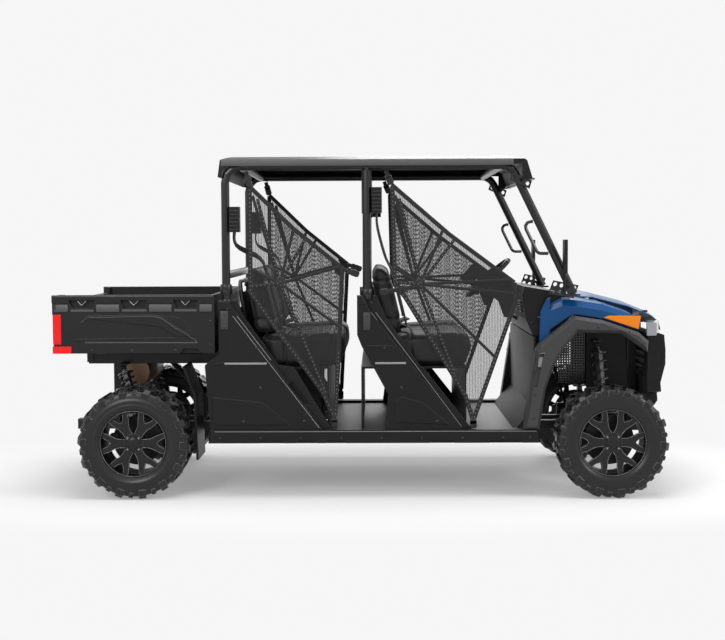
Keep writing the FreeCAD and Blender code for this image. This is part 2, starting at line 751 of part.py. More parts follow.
def build_frame():
    """The frame's box tubes and brackets, each a solid of its own that meets its neighbours at the seat gap."""
    pieces = []
    for name, across, side, up in FRAME_PAIRS:
        right = block(name, across, side, up)
        pieces += [right, mirrored(right)]
    for index, share in enumerate(OUTRIGGER_SHARES):
        along = (f"{share} * wheel_base", f"{share} * wheel_base + frame_tube")
        right = block(f"outrigger_{index}", along, ("frame_width / 2 + seat_gap", f"{SILL_INNER} - seat_gap"), LOW)
        pieces += [right, mirrored(right)]
    for name, across, half, up in FRAME_CROSSES:
        pieces.append(block(name, across, (f"-({half})", half), up))
    for index, share in enumerate(CROSS_SHARES):
        along = (f"{share} * wheel_base", f"{share} * wheel_base + frame_tube")
        pieces.append(block(f"cross_{index}", along, (f"-({BETWEEN_RAILS})", BETWEEN_RAILS), LOW))
    pieces.append(made("arm_brackets", Part.makeCompound(arm_brackets())))
    pieces.append(made("strut_foot", Part.makeCompound(
        strut_ears(value(STRUT_FOOT), value(ON_RAILS), value(STRUT_FOOT_LEVEL), 1))))

    rail = block("bed_rail_bar", (RAIL_END, f"{BACK} + frame_tube"), RAIL_SIDE, ("bed_rail_level", BED_RAIL_TOP))
    pin = VEC(value(TILT_PIN), 0, value(TILT_LEVEL))
    bored = DOC.addObject("Part::Cut", "bed_rail")
    bored.Base = rail
    bored.Tool = made("tilt_bore", rod(pin, pin + VEC(0, S.frame_width, 0), S.tilt_pin_radius + S.running_gap))
    pieces += [bored, mirrored(bored)]

    tube = block("receiver_bar", (REAR_END, f"{STAND} - seat_gap"), ("-receiver_size / 2", "receiver_size / 2"),
                 (f"{FRAME_TOP} - receiver_size", FRAME_TOP))
    half = "(receiver_size / 2 - receiver_wall)"
    socket = block("receiver_socket", (f"{REAR_END} - overrun", f"{REAR_END} + receiver_depth"), (f"-{half}", half),
                   (f"{FRAME_TOP} - receiver_size + receiver_wall", f"{FRAME_TOP} - receiver_wall"))
    pin = VEC(value(REAR_END) + S.receiver_pin_inset, -S.receiver_size, value(FRAME_TOP) - S.receiver_size / 2)
    hitch = made("hitch_bore", rod(pin, pin + VEC(0, 2 * S.receiver_size, 0), S.receiver_pin_radius))
    receiver = DOC.addObject("Part::Cut", "receiver")
    receiver.Base = tube
    receiver.Tool = fused("receiver_cuts", [socket, hitch])
    node("main_frame", receiver, *pieces)


def arm_brackets():
    """Cheek plates on the keel rails, either side of each wishbone bush."""
    reach = S.upright_height / 2 + S.seat_gap + S.ball_height / 2 - S.arm_rise + S.arm_bush_radius
    cheeks = []
    for axle in (value(REAR_AXLE), value(FRONT_AXLE)):
        for side in (-1, 1):
            width = sorted((side * (S.keel_width / 2 + S.seat_gap), side * (S.arm_root + S.arm_bush_radius)))
            for spread in (-S.arm_spread, S.arm_spread):
                for cheek in (-1, 1):
                    start = axle + spread + cheek * (S.arm_bush_length / 2 + S.seat_gap)
                    span = sorted((start, start + cheek * S.bracket_skin))
                    cheeks.append(solid_box(VEC(span[0], width[0], S.tyre_radius - reach),
                                            VEC(span[1], width[1], S.tyre_radius + reach)))
    return cheeks


def strut_ears(across, root, pin_level, sense):
    """Two ears that hold a strut's eye; sense is +1 where they stand up from root and -1 where they hang."""
    ears = []
    for side in (-1, 1):
        inner = S.strut_place + side * (S.strut_eye_width / 2 + S.seat_gap)
        width = sorted((inner, inner + side * S.bracket_skin))
        levels = sorted((root, pin_level + sense * S.strut_eye))
        ears.append(solid_box(VEC(across - S.strut_eye, width[0], levels[0]),
                              VEC(across + S.strut_eye, width[1], levels[1])))
    return ears


HEEL, WALL = "0.325 * wheel_base", "0.367 * wheel_base"
WALL_FOOT, WALL_HEAD = "0.430 * body_height", "0.785 * body_height"
FLOOR_BACK = "-0.066 * wheel_base"
SEAT_DECK = "0.640 * body_height"
REAR_BOX = ("-0.297 * wheel_base", "-0.068 * wheel_base")
REAR_BOX_HEAD = "0.890 * body_height"
FRONT_BOX = ("0.000 * wheel_base", "0.222 * wheel_base")


def build_floor():
    """One folded sheet from the rear footwell to the firewall, and the two seat boxes that stand on it."""
    body = new_body("floor_pan")
    skin = "floor_skin"
    points = [(FLOOR_BACK, FLOOR_BOTTOM), (HEEL, FLOOR_BOTTOM), (WALL, WALL_FOOT), (WALL, WALL_HEAD),
              (f"{WALL} - {skin}", WALL_HEAD), (f"{WALL} - {skin}", f"{WALL_FOOT} + {skin} / 2"),
              (f"{HEEL} - {skin} / 2", FLOOR_LEVEL), (FLOOR_BACK, FLOOR_LEVEL)]
    sheet = sketch_on(body, "floor_outline", "XZ_Plane")
    outline(sheet, points)
    pad(body, sheet, f"2 * ({SILL_INNER} - seat_gap)", "floor_sheet", midplane=True)
    node("floor_pan", body)

    width = "2 * (body_width / 2 - panel_depth - seat_gap)"
    rear = new_body("rear_seat_box")
    back, lip = REAR_BOX
    points = [(back, ON_RAILS), (back, REAR_BOX_HEAD), (f"{back} + {skin}", REAR_BOX_HEAD),
              (f"{back} + {skin}", SEAT_DECK), (lip, SEAT_DECK), (lip, ON_RAILS), (f"{lip} - {skin}", ON_RAILS),
              (f"{lip} - {skin}", f"{SEAT_DECK} - {skin}"), (f"{back} + {skin}", f"{SEAT_DECK} - {skin}"),
              (f"{back} + {skin}", ON_RAILS)]
    sheet = sketch_on(rear, "rear_box_outline", "XZ_Plane")
    outline(sheet, points)
    pad(rear, sheet, width, "rear_box_sheet", midplane=True)

    front = new_body("front_seat_box")
    back, lip = FRONT_BOX
    foot = f"{FLOOR_LEVEL} + seat_gap"
    points = [(back, foot), (back, SEAT_DECK), (lip, SEAT_DECK), (lip, foot), (f"{lip} - {skin}", foot),
              (f"{lip} - {skin}", f"{SEAT_DECK} - {skin}"), (f"{back} + {skin}", f"{SEAT_DECK} - {skin}"),
              (f"{back} + {skin}", foot)]
    sheet = sketch_on(front, "front_box_outline", "XZ_Plane")
    outline(sheet, points)
    pad(front, sheet, width, "front_box_sheet", midplane=True)
    node("seat_boxes", rear, front)


# Side panels, as shares of the wheel base and the body's height; a text is an expression of its own
PANEL_FOOT = f"{SILL_TOP} + seat_gap"
REAR_PANEL_SHARES = ((-0.297, 0.971), (-0.277, 0.971), (-0.083, PANEL_FOOT), (-0.316, PANEL_FOOT), (-0.327, 0.649),
                     (-0.326, 0.658), (-0.297, 0.708))
REAR_PANEL_BEVEL_SHARES = ((-0.297, 0.971), (-0.262, 0.971), (-0.245, 0.888), (-0.174, 0.653), (-0.141, 0.642),
                           (-0.063, PANEL_FOOT), (-0.316, PANEL_FOOT), (-0.326, 0.658),
                           (-0.297, 0.708))
MIDDLE_PANEL_SHARES = ((-0.008, 0.994), (0.005, 0.994), (0.017, 0.922), (0.212, PANEL_FOOT), (0.048, PANEL_FOOT),
                       (0.057, 0.481), (0.057, 0.508), (0.001, 0.748), (-0.008, 0.802))
MIDDLE_PANEL_BEVEL_SHARES = ((-0.008, 0.994), (0.033, 0.994), (0.052, 0.885), (0.125, 0.643), (0.130, 0.640),
                             (0.232, PANEL_FOOT), (0.048, PANEL_FOOT), (0.057, 0.508),
                             (0.001, 0.748), (-0.008, 0.802))
SILL_SHARES = ((-0.321, "frame_bottom"), (-0.316, SILL_TOP), (0.370, SILL_TOP), (0.374, "frame_bottom"))
SILL_POCKET_SHARES = ((-0.216, -0.161), (-0.137, -0.090), (-0.075, -0.029), (0.142, 0.198), (0.265, 0.338))
# raised lower panel, thin ridge, cap round the pillar's foot and slot in the flank, for each side panel
PANEL_DETAILS = {
    "rear": {"low_panel": ((-0.312, 0.372), (-0.312, 0.500), (-0.205, 0.472), (-0.160, 0.385), (-0.150, 0.360),
                           (-0.305, 0.360)),
             "ridge": ((-0.312, 0.660), (-0.205, 0.660), (-0.203, 0.668), (-0.295, 0.668)),
             "cap": ((-0.296, 0.925), (-0.296, 0.969), (-0.278, 0.969), (-0.2700, 0.930)),
             "slot": ((-0.153, 0.560), (-0.143, 0.575), (-0.104, 0.455), (-0.118, 0.455))},
    "middle": {"low_panel": ((0.070, 0.372), (0.070, 0.480), (0.085, 0.500), (0.130, 0.470), (0.180, 0.372),
                             (0.186, 0.360)),
               "ridge": ((0.022, 0.742), (0.068, 0.742), (0.066, 0.750), (0.012, 0.750)),
               "cap": ((-0.006, 0.948), (-0.006, 0.992), (0.004, 0.992), (0.011, 0.950)),
               "slot": ((0.160, 0.560), (0.171, 0.575), (0.212, 0.450), (0.198, 0.450))},
}
PANEL_OUT = "body_width / 2"
PANEL_IN = "body_width / 2 - panel_depth"


def build_side_panels():
    panels = []
    for name, face, bevel in (("rear", REAR_PANEL_SHARES, REAR_PANEL_BEVEL_SHARES),
                              ("middle", MIDDLE_PANEL_SHARES, MIDDLE_PANEL_BEVEL_SHARES)):
        body = new_body(f"{name}_side_panel")
        side_panel(body, f"{name}_inner", body_shares(bevel), PANEL_IN, f"{PANEL_OUT} - panel_bevel")
        side_panel(body, f"{name}_face", body_shares(face), f"{PANEL_OUT} - panel_bevel", PANEL_OUT)
        details = PANEL_DETAILS[name]
        for detail in ("low_panel", "cap"):
            bevelled_panel(body, f"{name}_{detail}", body_shares(details[detail]), PANEL_OUT, f"{PANEL_OUT} + ridge")
        side_panel(body, f"{name}_ridge", body_shares(details["ridge"]), PANEL_OUT, f"{PANEL_OUT} + ridge")
        side_cut(body, f"{name}_slot", body_shares(details["slot"]), f"{PANEL_OUT} - panel_bevel - recess", PANEL_OUT)
        panels += [body, mirrored(body)]
    node("seat_side_panels", *panels)

    body = new_body("right_sill")
    side_panel(body, "sill", body_shares(SILL_SHARES), SILL_INNER, "body_width / 2 + sill_overhang / 2")
    bevelled_panel(body, "sill_edge", body_shares(SILL_SHARES), "body_width / 2 + sill_overhang / 2",
                   "body_width / 2 + sill_overhang")
    for index, (start, end) in enumerate(SILL_POCKET_SHARES):
        cut = sketch_on(body, f"sill_pocket_{index}", "XZ_Plane", "body_width / 2 + sill_overhang / 4")
        outline(cut, [(f"{start} * wheel_base", "frame_bottom - overrun"),
                      (f"{start} * wheel_base + overrun / 2", "frame_bottom + sill_pocket"),
                      (f"{end} * wheel_base - overrun / 2", "frame_bottom + sill_pocket"),
                      (f"{end} * wheel_base", "frame_bottom - overrun")])
        pocket(body, cut, "overrun", f"sill_notch_{index}", reverse=True)
    node("sills", body, mirrored(body))


# Roll cage: centre lines of its tubes as shares of the wheel base, with heights by name
CAGE_FOOT_SHARE = 0.971
POST_FOOT_SHARE = 0.994
PILLAR_PLATE_SHARE = 0.9885
REAR_HOOP = "-0.282 * wheel_base"
MIDDLE_POST = "0.0127 * wheel_base"
FRONT_FOOT_SHARE = 0.4440
FRONT_BEND_SHARE = 0.3130
CROSS_BAR_SHARES = (-0.250, 0.0127, 0.295)
SLEEVE_LENGTH_SHARE = 0.13


def build_cage():
    radius = S.cage_tube / 2
    side = S.cage_width / 2
    foot = CAGE_FOOT_SHARE * S.body_height + S.seat_gap
    plate_level = PILLAR_PLATE_SHARE * S.body_height
    rear, middle = value(REAR_HOOP), value(MIDDLE_POST)
    front_foot = FRONT_FOOT_SHARE * S.wheel_base
    front_bend = FRONT_BEND_SHARE * S.wheel_base
    side_hoops, posts = [], []
    for sense in (-1, 1):
        across = sense * side
        points = [VEC(rear, across, foot), VEC(rear, across, S.cage_top), VEC(front_bend, across, S.cage_top),
                  VEC(front_foot, across, plate_level + S.plate_skin)]
        pad_plate = solid_box(VEC(front_foot - 2 * S.plate_reach, across - S.plate_width / 2, plate_level),
                              VEC(front_foot + S.plate_reach, across + S.plate_width / 2, plate_level + S.plate_skin))
        side_hoops.append(bent_tube(points, radius, S.cage_bend).fuse(pad_plate).removeSplitter())
        top = S.cage_top - radius - S.seat_gap
        base = POST_FOOT_SHARE * S.body_height + S.seat_gap
        post = bar(VEC(middle, across, base), VEC(middle, across, top), radius, ROUND_SIDES)
        sleeve = bar(VEC(middle, across, top - SLEEVE_LENGTH_SHARE * S.cage_top), VEC(middle, across, top),
                     radius + S.sleeve_skin, ROUND_SIDES)
        posts.append(post.fuse(sleeve).removeSplitter())
    node("cage_side_hoops", made("cage_side_hoops", Part.makeCompound(side_hoops)))
    node("cage_middle_posts", made("cage_middle_posts", Part.makeCompound(posts)))
    inner = side - radius - S.seat_gap
    places = [VEC(share * S.wheel_base, 0, S.cage_top) for share in CROSS_BAR_SHARES]
    places.append(VEC(rear, 0, S.shoulder_bar_level))
    bars = [bar(place - VEC(0, inner, 0), place + VEC(0, inner, 0), radius, ROUND_SIDES) for place in places]
    node("cage_cross_bars", made("cage_cross_bars", Part.makeCompound(bars)))


# Roof panel seen from the side, as shares of the wheel base and drops below its crown, then across the vehicle
ROOF_SIDE_SHARES = ((-0.296, -0.126), (-0.291, -0.045), (-0.280, -0.012), (-0.262, 0.004), (0.300, 0.004),
                    (0.345, -0.050), (0.357, -0.142))
ROOF_OPEN_SHARES = (-0.287, 0.335)
ROOF_PAD_SHARES = (-0.200, 0.0, 0.230)


def build_roof():
    top = S.roof_edge + S.roof_rise
    foot = top + min(drop for share, drop in ROOF_SIDE_SHARES) * S.body_height - S.overrun

    def form(inset):
        """The roof's outer form, or its hollow when inset by the skin."""
        points = [VEC(share * S.wheel_base, 0, top + drop * S.body_height - inset) for share, drop in ROOF_SIDE_SHARES]
        for point in points[:2]:
            point.x += inset
        for point in points[-2:]:
            point.x -= inset
        if inset:
            points += [VEC(points[-1].x, 0, foot), VEC(points[0].x, 0, foot)]
        for point in points:
            point.y = -S.roof_width
        long_form = prism(points, VEC(0, 2 * S.roof_width, 0))
        half, edge, crown = S.roof_width / 2 - inset, S.roof_edge - inset, top - inset
        arc = Part.Arc(VEC(0, -half, edge), VEC(0, 0, crown), VEC(0, half, edge)).toShape()
        rest = Part.makePolygon([VEC(0, half, edge), VEC(0, half, foot), VEC(0, -half, foot), VEC(0, -half, edge)])
        arch = Part.Face(Part.Wire([arc] + rest.Edges))
        arch.translate(VEC(-S.wheel_base, 0, 0))
        return long_form.common(arch.extrude(VEC(2 * S.wheel_base, 0, 0)))

    back, front = (share * S.wheel_base for share in ROOF_OPEN_SHARES)
    sides_open = solid_box(VEC(back, -S.roof_width, 0), VEC(front, S.roof_width, S.roof_edge - S.roof_edge_depth))
    roof = form(0).cut(form(S.roof_skin)).cut(sides_open)
    pads = []
    for share in ROOF_PAD_SHARES:
        for side in (-1, 1):
            centre = VEC(share * S.wheel_base, side * S.cage_width / 2, S.cage_top + S.cage_tube / 2 + S.seat_gap)
            reach = VEC(S.roof_pad, S.roof_pad / 4, 0)
            pads.append(solid_box(centre - reach, centre + reach + VEC(0, 0, S.roof_edge - centre.z)))
    roof = roof.fuse(pads)
    node("roof_panel", made("roof_panel", roof.removeSplitter()))


# Cargo box
BOX_BACK, BOX_FRONT = "-0.6385 * wheel_base", "-0.306 * wheel_base"
BOX_END = "-0.645 * wheel_base"
BOX_FOOT = "0.715 * body_height"
BOX_FLOOR = f"{BOX_FOOT} + box_floor_skin"
LAMP_EDGE = f"{BOX_BACK} + lamp_wrap + seat_gap"
LAMP_FOOT, LAMP_HEAD = "0.7605 * body_height", "0.9055 * body_height"
BLOCK_EDGE, BLOCK_HEAD = "-0.606 * wheel_base", "0.750 * body_height"
BOX_SIDE_SHARES = ((-0.645, "body_height"), (-0.306, "body_height"), (-0.306, 0.715), (-0.331, 0.715),
                   (-0.342, 0.739), (-0.371, 0.739), (-0.379, 0.715), (f"{BLOCK_EDGE} + seat_gap", 0.715),
                   (f"{BLOCK_EDGE} + seat_gap", f"{BLOCK_HEAD} + seat_gap"), (-0.643, f"{BLOCK_HEAD} + seat_gap"),
                   (-0.643, f"{LAMP_FOOT} - seat_gap"), (LAMP_EDGE, f"{LAMP_FOOT} - seat_gap"),
                   (LAMP_EDGE, f"{LAMP_HEAD} + seat_gap"), (-0.645, f"{LAMP_HEAD} + seat_gap"))
BOX_OUT = "body_width / 2"
BOX_IN = "body_width / 2 - box_panel_depth"
POCKET_SHARES = ((-0.6095, -0.554), (-0.502, -0.444), (-0.392, -0.338))
POCKET_HEAD, POCKET_FOOT = "(body_height - pocket_drop)", "(body_height - pocket_drop - pocket_height)"
STRIP_SHARES = ((-0.640, 0.931), (-0.640, 0.963), (-0.306, 0.963), (-0.306, 0.931))
LEDGE_SHARES = ((-0.600, 0.778), (-0.596, 0.787), (-0.352, 0.793), (-0.346, 0.784))
SWOOSH_SHARES = ((-0.581, 0.889), (-0.566, 0.909), (-0.397, 0.900), (-0.372, 0.886), (-0.345, 0.797),
                 (-0.385, 0.793), (-0.405, 0.826), (-0.428, 0.847), (-0.538, 0.875))


GATE_PIN = f"{BOX_BACK} + gate_pin_inset"
GATE_PIN_LEVEL = f"{BOX_FLOOR} + gate_pin_rise"
STRUT_HEAD = "-0.470 * wheel_base"
STRUT_HEAD_LEVEL = "bed_rail_level + rail_height - strut_head_drop"
BOX_CROSS_SHARES = (-0.479, -0.330)


def build_cargo_box():
    tub = new_body("cargo_tub")
    plan = sketch_on(tub, "tub_plan", "XY_Plane", BOX_FOOT)
    half = "(body_width / 2 - box_panel_depth - seat_gap)"
    outline(plan, [(BOX_BACK, f"-{half}"), (BOX_FRONT, f"-{half}"), (BOX_FRONT, half), (BOX_BACK, half)])
    pad(tub, plan, f"body_height - ({BOX_FOOT})", "tub_block")
    inside = sketch_on(tub, "tub_inside", "XY_Plane", BOX_FLOOR)
    inner, post = f"({half} - box_wall)", f"({half} - box_wall - box_post)"
    back = f"{BOX_BACK} - overrun"
    pin_edge = f"{BOX_BACK} + gate_pin_inset + gate_pin_radius + seat_gap"
    outline(inside, [(f"{BOX_BACK} + tailgate_thickness", f"-{inner}"), (f"{BOX_FRONT} - box_wall", f"-{inner}"),
                     (f"{BOX_FRONT} - box_wall", inner), (f"{BOX_BACK} + tailgate_thickness", inner),
                     (f"{BOX_BACK} + tailgate_thickness", post), (back, post),
                     (back, f"-{post}"), (f"{BOX_BACK} + tailgate_thickness", f"-{post}")])
    pocket(tub, inside, "body_height", "tub_hollow", reverse=True)
    edge = sketch_on(tub, "tub_floor_edge", "XZ_Plane")
    outline(edge, [(back, f"{BOX_FOOT} - overrun"), (pin_edge, f"{BOX_FOOT} - overrun"), (pin_edge, "body_height"),
                   (back, "body_height")])
    pocket(tub, edge, f"2 * {post}", "tub_floor_notch", midplane=True)
    bore = sketch_on(tub, "gate_bore", "XZ_Plane")
    circle(bore, GATE_PIN, GATE_PIN_LEVEL, "gate_pin_radius + running_gap")
    pocket(tub, bore, f"2 * ({post} + gate_pin_reach)", "gate_pin_bore", midplane=True)
    node("cargo_box", tub)

    panel = new_body("right_box_side")
    side_panel(panel, "box_side", body_shares(BOX_SIDE_SHARES), BOX_IN, BOX_OUT)
    rail = [("-0.645 * wheel_base", "body_height - box_rail"), ("-0.645 * wheel_base", "body_height"),
            (BOX_FRONT, "body_height"), (BOX_FRONT, "body_height - box_rail")]
    side_panel(panel, "box_rail", rail, BOX_OUT, f"{BOX_OUT} + box_rail_proud")
    for name, shares in (("box_strip", STRIP_SHARES), ("box_ledge", LEDGE_SHARES)):
        side_panel(panel, name, body_shares(shares), BOX_OUT, f"{BOX_OUT} + groove")
    for index, (start, end) in enumerate(POCKET_SHARES):
        points = [(f"{start} * wheel_base", POCKET_HEAD), (f"{end} * wheel_base", POCKET_HEAD),
                  (f"{end} * wheel_base - overrun", POCKET_FOOT), (f"{start} * wheel_base + overrun", POCKET_FOOT)]
        side_cut(panel, f"tie_pocket_{index}", points, f"{BOX_OUT} - pocket_depth", f"{BOX_OUT} + overrun")
        middle = f"({start} + {end}) / 2 * wheel_base"
        hook = [(f"{middle} - hook_width", POCKET_HEAD), (f"{middle} + hook_width", POCKET_HEAD),
                (middle, f"{POCKET_HEAD} - hook_width")]
        side_panel(panel, f"tie_hook_{index}", hook, f"{BOX_OUT} - pocket_depth", f"{BOX_OUT} + groove")
    bevelled_panel(panel, "swoosh", body_shares(SWOOSH_SHARES), BOX_OUT, f"{BOX_OUT} + ridge")
    node("box_side_panels", panel, mirrored(panel))

    lamp = new_body("right_tail_lamp")
    plan = sketch_on(lamp, "lamp_plan", "XY_Plane", LAMP_FOOT)
    out, wall = "(body_width / 2)", f"({half} + seat_gap)"
    back, face = f"({BOX_BACK} - seat_gap)", f"({BOX_BACK} - seat_gap - lamp_skin)"
    outline(plan, [(face, f"-{post} - seat_gap"), (face, f"-{out}"), (f"{BOX_BACK} + lamp_wrap", f"-{out}"),
                   (f"{BOX_BACK} + lamp_wrap", f"-{wall}"), (back, f"-{wall}"), (back, f"-{post} - seat_gap")])
    pad(lamp, plan, f"{LAMP_HEAD} - {LAMP_FOOT}", "lamp_block")
    corner = new_body("right_corner_reflector")
    side_panel(corner, "reflector_block", [(f"{BOX_END} + 2 * seat_gap", BOX_FOOT), (BLOCK_EDGE, BOX_FOOT),
                                           (BLOCK_EDGE, BLOCK_HEAD), (f"{BOX_END} + 2 * seat_gap", BLOCK_HEAD)],
               f"{half} + seat_gap", f"{BOX_OUT} + groove")
    node("tail_lamps", lamp, mirrored(lamp), corner, mirrored(corner))

    frame = [block("box_rail_right", (TILT_PIN, f"{BOX_FRONT} - box_wall"),
                   ("frame_width / 2 - frame_tube - gap_at_lug - bracket_skin",
                    "frame_width / 2 + gap_at_lug + bracket_skin"),
                   (f"{BED_RAIL_TOP} + moving_gap", f"{BOX_FOOT} - seat_gap")),
             block("box_rest_right", (f"{BOX_FRONT} - box_wall - frame_tube", f"{BOX_FRONT} - box_wall"), RAIL_SIDE,
                   (f"{BED_RAIL_TOP} + seat_gap", f"{BED_RAIL_TOP} + moving_gap"))]
    pieces = frame + [mirrored(piece) for piece in frame]
    pin_at, pin_level = value(TILT_PIN), value(TILT_LEVEL)
    for sense in (-1, 1):
        outer = sense * S.frame_width / 2
        for start, reach in ((outer + sense * S.gap_at_lug, S.bracket_skin),
                             (outer - sense * (S.frame_tube + S.gap_at_lug), -S.bracket_skin)):
            span = sorted((start, start + sense * reach))
            lug = solid_box(VEC(pin_at - S.tilt_pin_radius * 2, span[0], pin_level - S.tilt_pin_radius * 2),
                            VEC(pin_at + S.tilt_pin_radius * 2, span[1], value(BOX_FOOT) - S.seat_gap))
            pieces.append(made(f"lug_{len(pieces)}", lug))
        low, high = sorted((outer + sense * (S.gap_at_lug + S.bracket_skin),
                            outer - sense * (S.frame_tube + S.gap_at_lug + S.bracket_skin)))
        pieces.append(made(f"tilt_pin_{len(pieces)}",
                           rod(VEC(pin_at, low, pin_level), VEC(pin_at, high, pin_level), S.tilt_pin_radius)))
    half_cross = S.frame_width / 2 - S.frame_tube
    low, high = value(BED_RAIL_TOP) + S.moving_gap, value(BOX_FOOT) - S.seat_gap
    for share in BOX_CROSS_SHARES:
        start = share * S.wheel_base
        cross = solid_box(VEC(start, -half_cross, low), VEC(start + S.frame_tube, half_cross, high))
        pieces.append(made(f"box_cross_{len(pieces)}", cross))
    ears = strut_ears(value(STRUT_HEAD), value(BOX_FOOT) - S.bracket_skin, value(STRUT_HEAD_LEVEL), -1)
    pieces.append(made("strut_head", Part.makeCompound(ears)))
    node("box_subframe", fused("box_subframe_union", pieces))

    gate = new_body("tailgate_panel")
    plate = sketch_on(gate, "gate_outline", "YZ_Plane", BOX_BACK)
    gate_half = f"({post} - moving_gap)"
    outline(plate, [(f"-{gate_half}", f"{BOX_FLOOR} + moving_gap"), (gate_half, f"{BOX_FLOOR} + moving_gap"),
                    (gate_half, "body_height - gate_drop"), (f"-{gate_half}", "body_height - gate_drop")])
    pad(gate, plate, "tailgate_thickness", "gate_plate")
    pin = sketch_on(gate, "gate_pin", "XZ_Plane")
    circle(pin, GATE_PIN, GATE_PIN_LEVEL, "gate_pin_radius")
    pad(gate, pin, f"2 * ({post} + gate_pin_reach - seat_gap)", "gate_hinge", midplane=True)
    node("tailgate", gate)


def circle(sketch, across, up, radius):
    """A circle whose centre and radius are expressions."""
    centre = VEC(value(across), value(up), 0)
    index = sketch.addGeometry(Part.Circle(centre, VEC(0, 0, 1), value(radius)), False)
    for kind, text, number in (("DistanceX", across, centre.x), ("DistanceY", up, centre.y)):
        constraint = sketch.addConstraint(Sketcher.Constraint(kind, -1, 1, index, 3, number))
        sketch.setExpression(f"Constraints[{constraint}]", bound(text))
    constraint = sketch.addConstraint(Sketcher.Constraint("Radius", index, value(radius)))
    sketch.setExpression(f"Constraints[{constraint}]", bound(radius))


# The tipping strut between its two pins
def build_strut():
    foot = VEC(value(STRUT_FOOT), S.strut_place, value(STRUT_FOOT_LEVEL))
    head = VEC(value(STRUT_HEAD), S.strut_place, value(STRUT_HEAD_LEVEL))
    along = (head - foot).normalize()
    tube_end = head - along * (S.strut_eye + S.strut_collar)
    tube = bar(foot, tube_end, S.strut_radius, ROUND_SIDES)
    tube = tube.cut(bar(foot + along * S.strut_eye * 2, head, S.strut_bore, ROUND_SIDES))
    tube = tube.fuse(disc(foot, (0, 1, 0), S.strut_eye, S.strut_eye_width)).removeSplitter()
    slide = bar(foot + along * (2 * S.strut_eye + S.seat_gap), head, S.strut_rod)
    slide = slide.fuse(disc(head, (0, 1, 0), S.strut_eye, S.strut_eye_width)).removeSplitter()
    node("strut_tube", made("strut_tube", tube))
    node("strut_rod", made("strut_rod", slide))


# Front bodywork
FASCIA_BACK = f"{NOSE} + seat_gap"
FASCIA_HEAD = 0.790
FASCIA_SHARES = ((FASCIA_BACK, FASCIA_HEAD), (0.642, FASCIA_HEAD), (0.650, 0.783), (0.6532, 0.708), (0.6532, 0.637),
                 (0.643, 0.542), (0.647, 0.440), (0.620, 0.346), (FASCIA_BACK, 0.346))
SLOT_LEVELS = (0.560, 0.595, 0.630, 0.665)
TYRE_CLEAR_FOOT, TYRE_CLEAR_LEVEL = "0.300 * body_height", "0.500 * body_height"
FLARE_SHARES = ((0.339, PANEL_FOOT), (0.353, 0.557), (0.364, 0.724), (0.370, 0.751), (0.444, 0.891), (0.505, 0.869),
                (0.577, 0.811), (0.598, 0.768), (0.596, 0.715), (0.549, 0.794), (0.539, 0.806), (0.450, 0.812),
                (0.423, 0.737), (0.399, 0.631), (0.385, 0.536), (0.372, PANEL_FOOT))
# place, height of the middle and share of the hood's width at its edge
HOOD_STATIONS = ((0.4420, 0.998, 0.500), (0.498, 0.991, 0.500), (0.577, 0.944, 0.495), (0.630, 0.893, 0.480),
                 (0.646, 0.862, 0.455), (0.6515, 0.822, 0.430))
HOOD_CROWN_SHARES = ((-1.0, 0.018), (-0.80, 0.010), (-0.30, 0.0), (0.30, 0.0), (0.80, 0.010), (1.0, 0.018))
HOOD_BOSS_HEAD = 0.978
HOOD_RIB_SHARES = ((0.530, None), (0.530, 0.964), (0.577, 0.937), (0.600, 0.914), (0.600, None))
# place and levels of the fender's inner edge, shoulder and foot
SHOULDER_STATIONS = ((0.396, 0.947, 0.914, 0.8229), (0.422, 0.978, 0.938, 0.8636), (0.4385, 0.980, 0.937, 0.8894))
FENDER_STATIONS = ((0.4385, 0.980, 0.937, 0.8894), (0.449, 0.978, 0.935, 0.8962), (0.505, 0.958, 0.915, 0.8760),
                   (0.567, 0.908, 0.872, 0.8276), (0.586, 0.876, 0.850, 0.8240))
SHOULDER_RUN = 0.55
CREASE_DROP = 0.012
MARKER_SHARES = ((0.3535, 0.545), (0.3725, 0.715), (0.3805, 0.715), (0.3665, 0.545))
HEADLAMP_PLAN = ((0.6155, "hood_width / 2 + 2 * moving_gap"), (0.6420, "hood_width / 2 + 2 * moving_gap"),
                 (0.6350, "fascia_width / 2"), (0.6205, "fender_width / 2 - flare_lap"),
                 (0.5990, "fender_width / 2"), (0.5990, "fender_width / 2 - flare_lap"), (0.6155, "fascia_width / 2"))
DASH_SHARES = ((0.345, 1.033), (0.410, 1.006), (0.4325, 0.994), (0.4325, 0.792), (0.362, 0.792), (0.347, 0.872),
               (0.340, 0.988))
HOOD_PIN, HOOD_PIN_LEVEL = "0.4470 * wheel_base", "0.975 * body_height"
HINGE_BLOCK_HEAD = "0.984 * body_height"
TURN_LAMP_SHARES = ((0.508, 0.880), (0.519, 0.890), (0.585, 0.888), (0.580, 0.824))


def fender_part(stations, inner):
    """The right fender's skin between stations; each holds its place along the vehicle and three levels."""
    rings = []
    side, skin = S.fender_width / 2, S.fender_skin
    for share, top, crease, foot in stations:
        top, crease, foot = (level * S.body_height for level in (top, crease, foot))
        crease_at = side - (top - crease) * SHOULDER_RUN
        outer = [(inner, top), (crease_at, top - CREASE_DROP * S.body_height), (side, crease), (side, foot)]
        hidden = [(side - skin, foot), (side - skin, crease - skin), (crease_at - skin / 2, outer[1][1] - skin),
                  (inner, top - skin)]
        rings.append([VEC(share * S.wheel_base, -across, level) for across, level in outer + hidden])
    return skinned(rings)


def hood_form():
    """The hood's crowned skin between its stations."""
    rings = []
    for share, top, half in HOOD_STATIONS:
        top, half = top * S.body_height, half * S.hood_width
        crown = [(across * half, top - drop * S.body_height) for across, drop in HOOD_CROWN_SHARES]
        points = crown + [(across, level - S.hood_skin) for across, level in reversed(crown)]
        rings.append([VEC(share * S.wheel_base, across, level) for across, level in points])
    return skinned(rings)


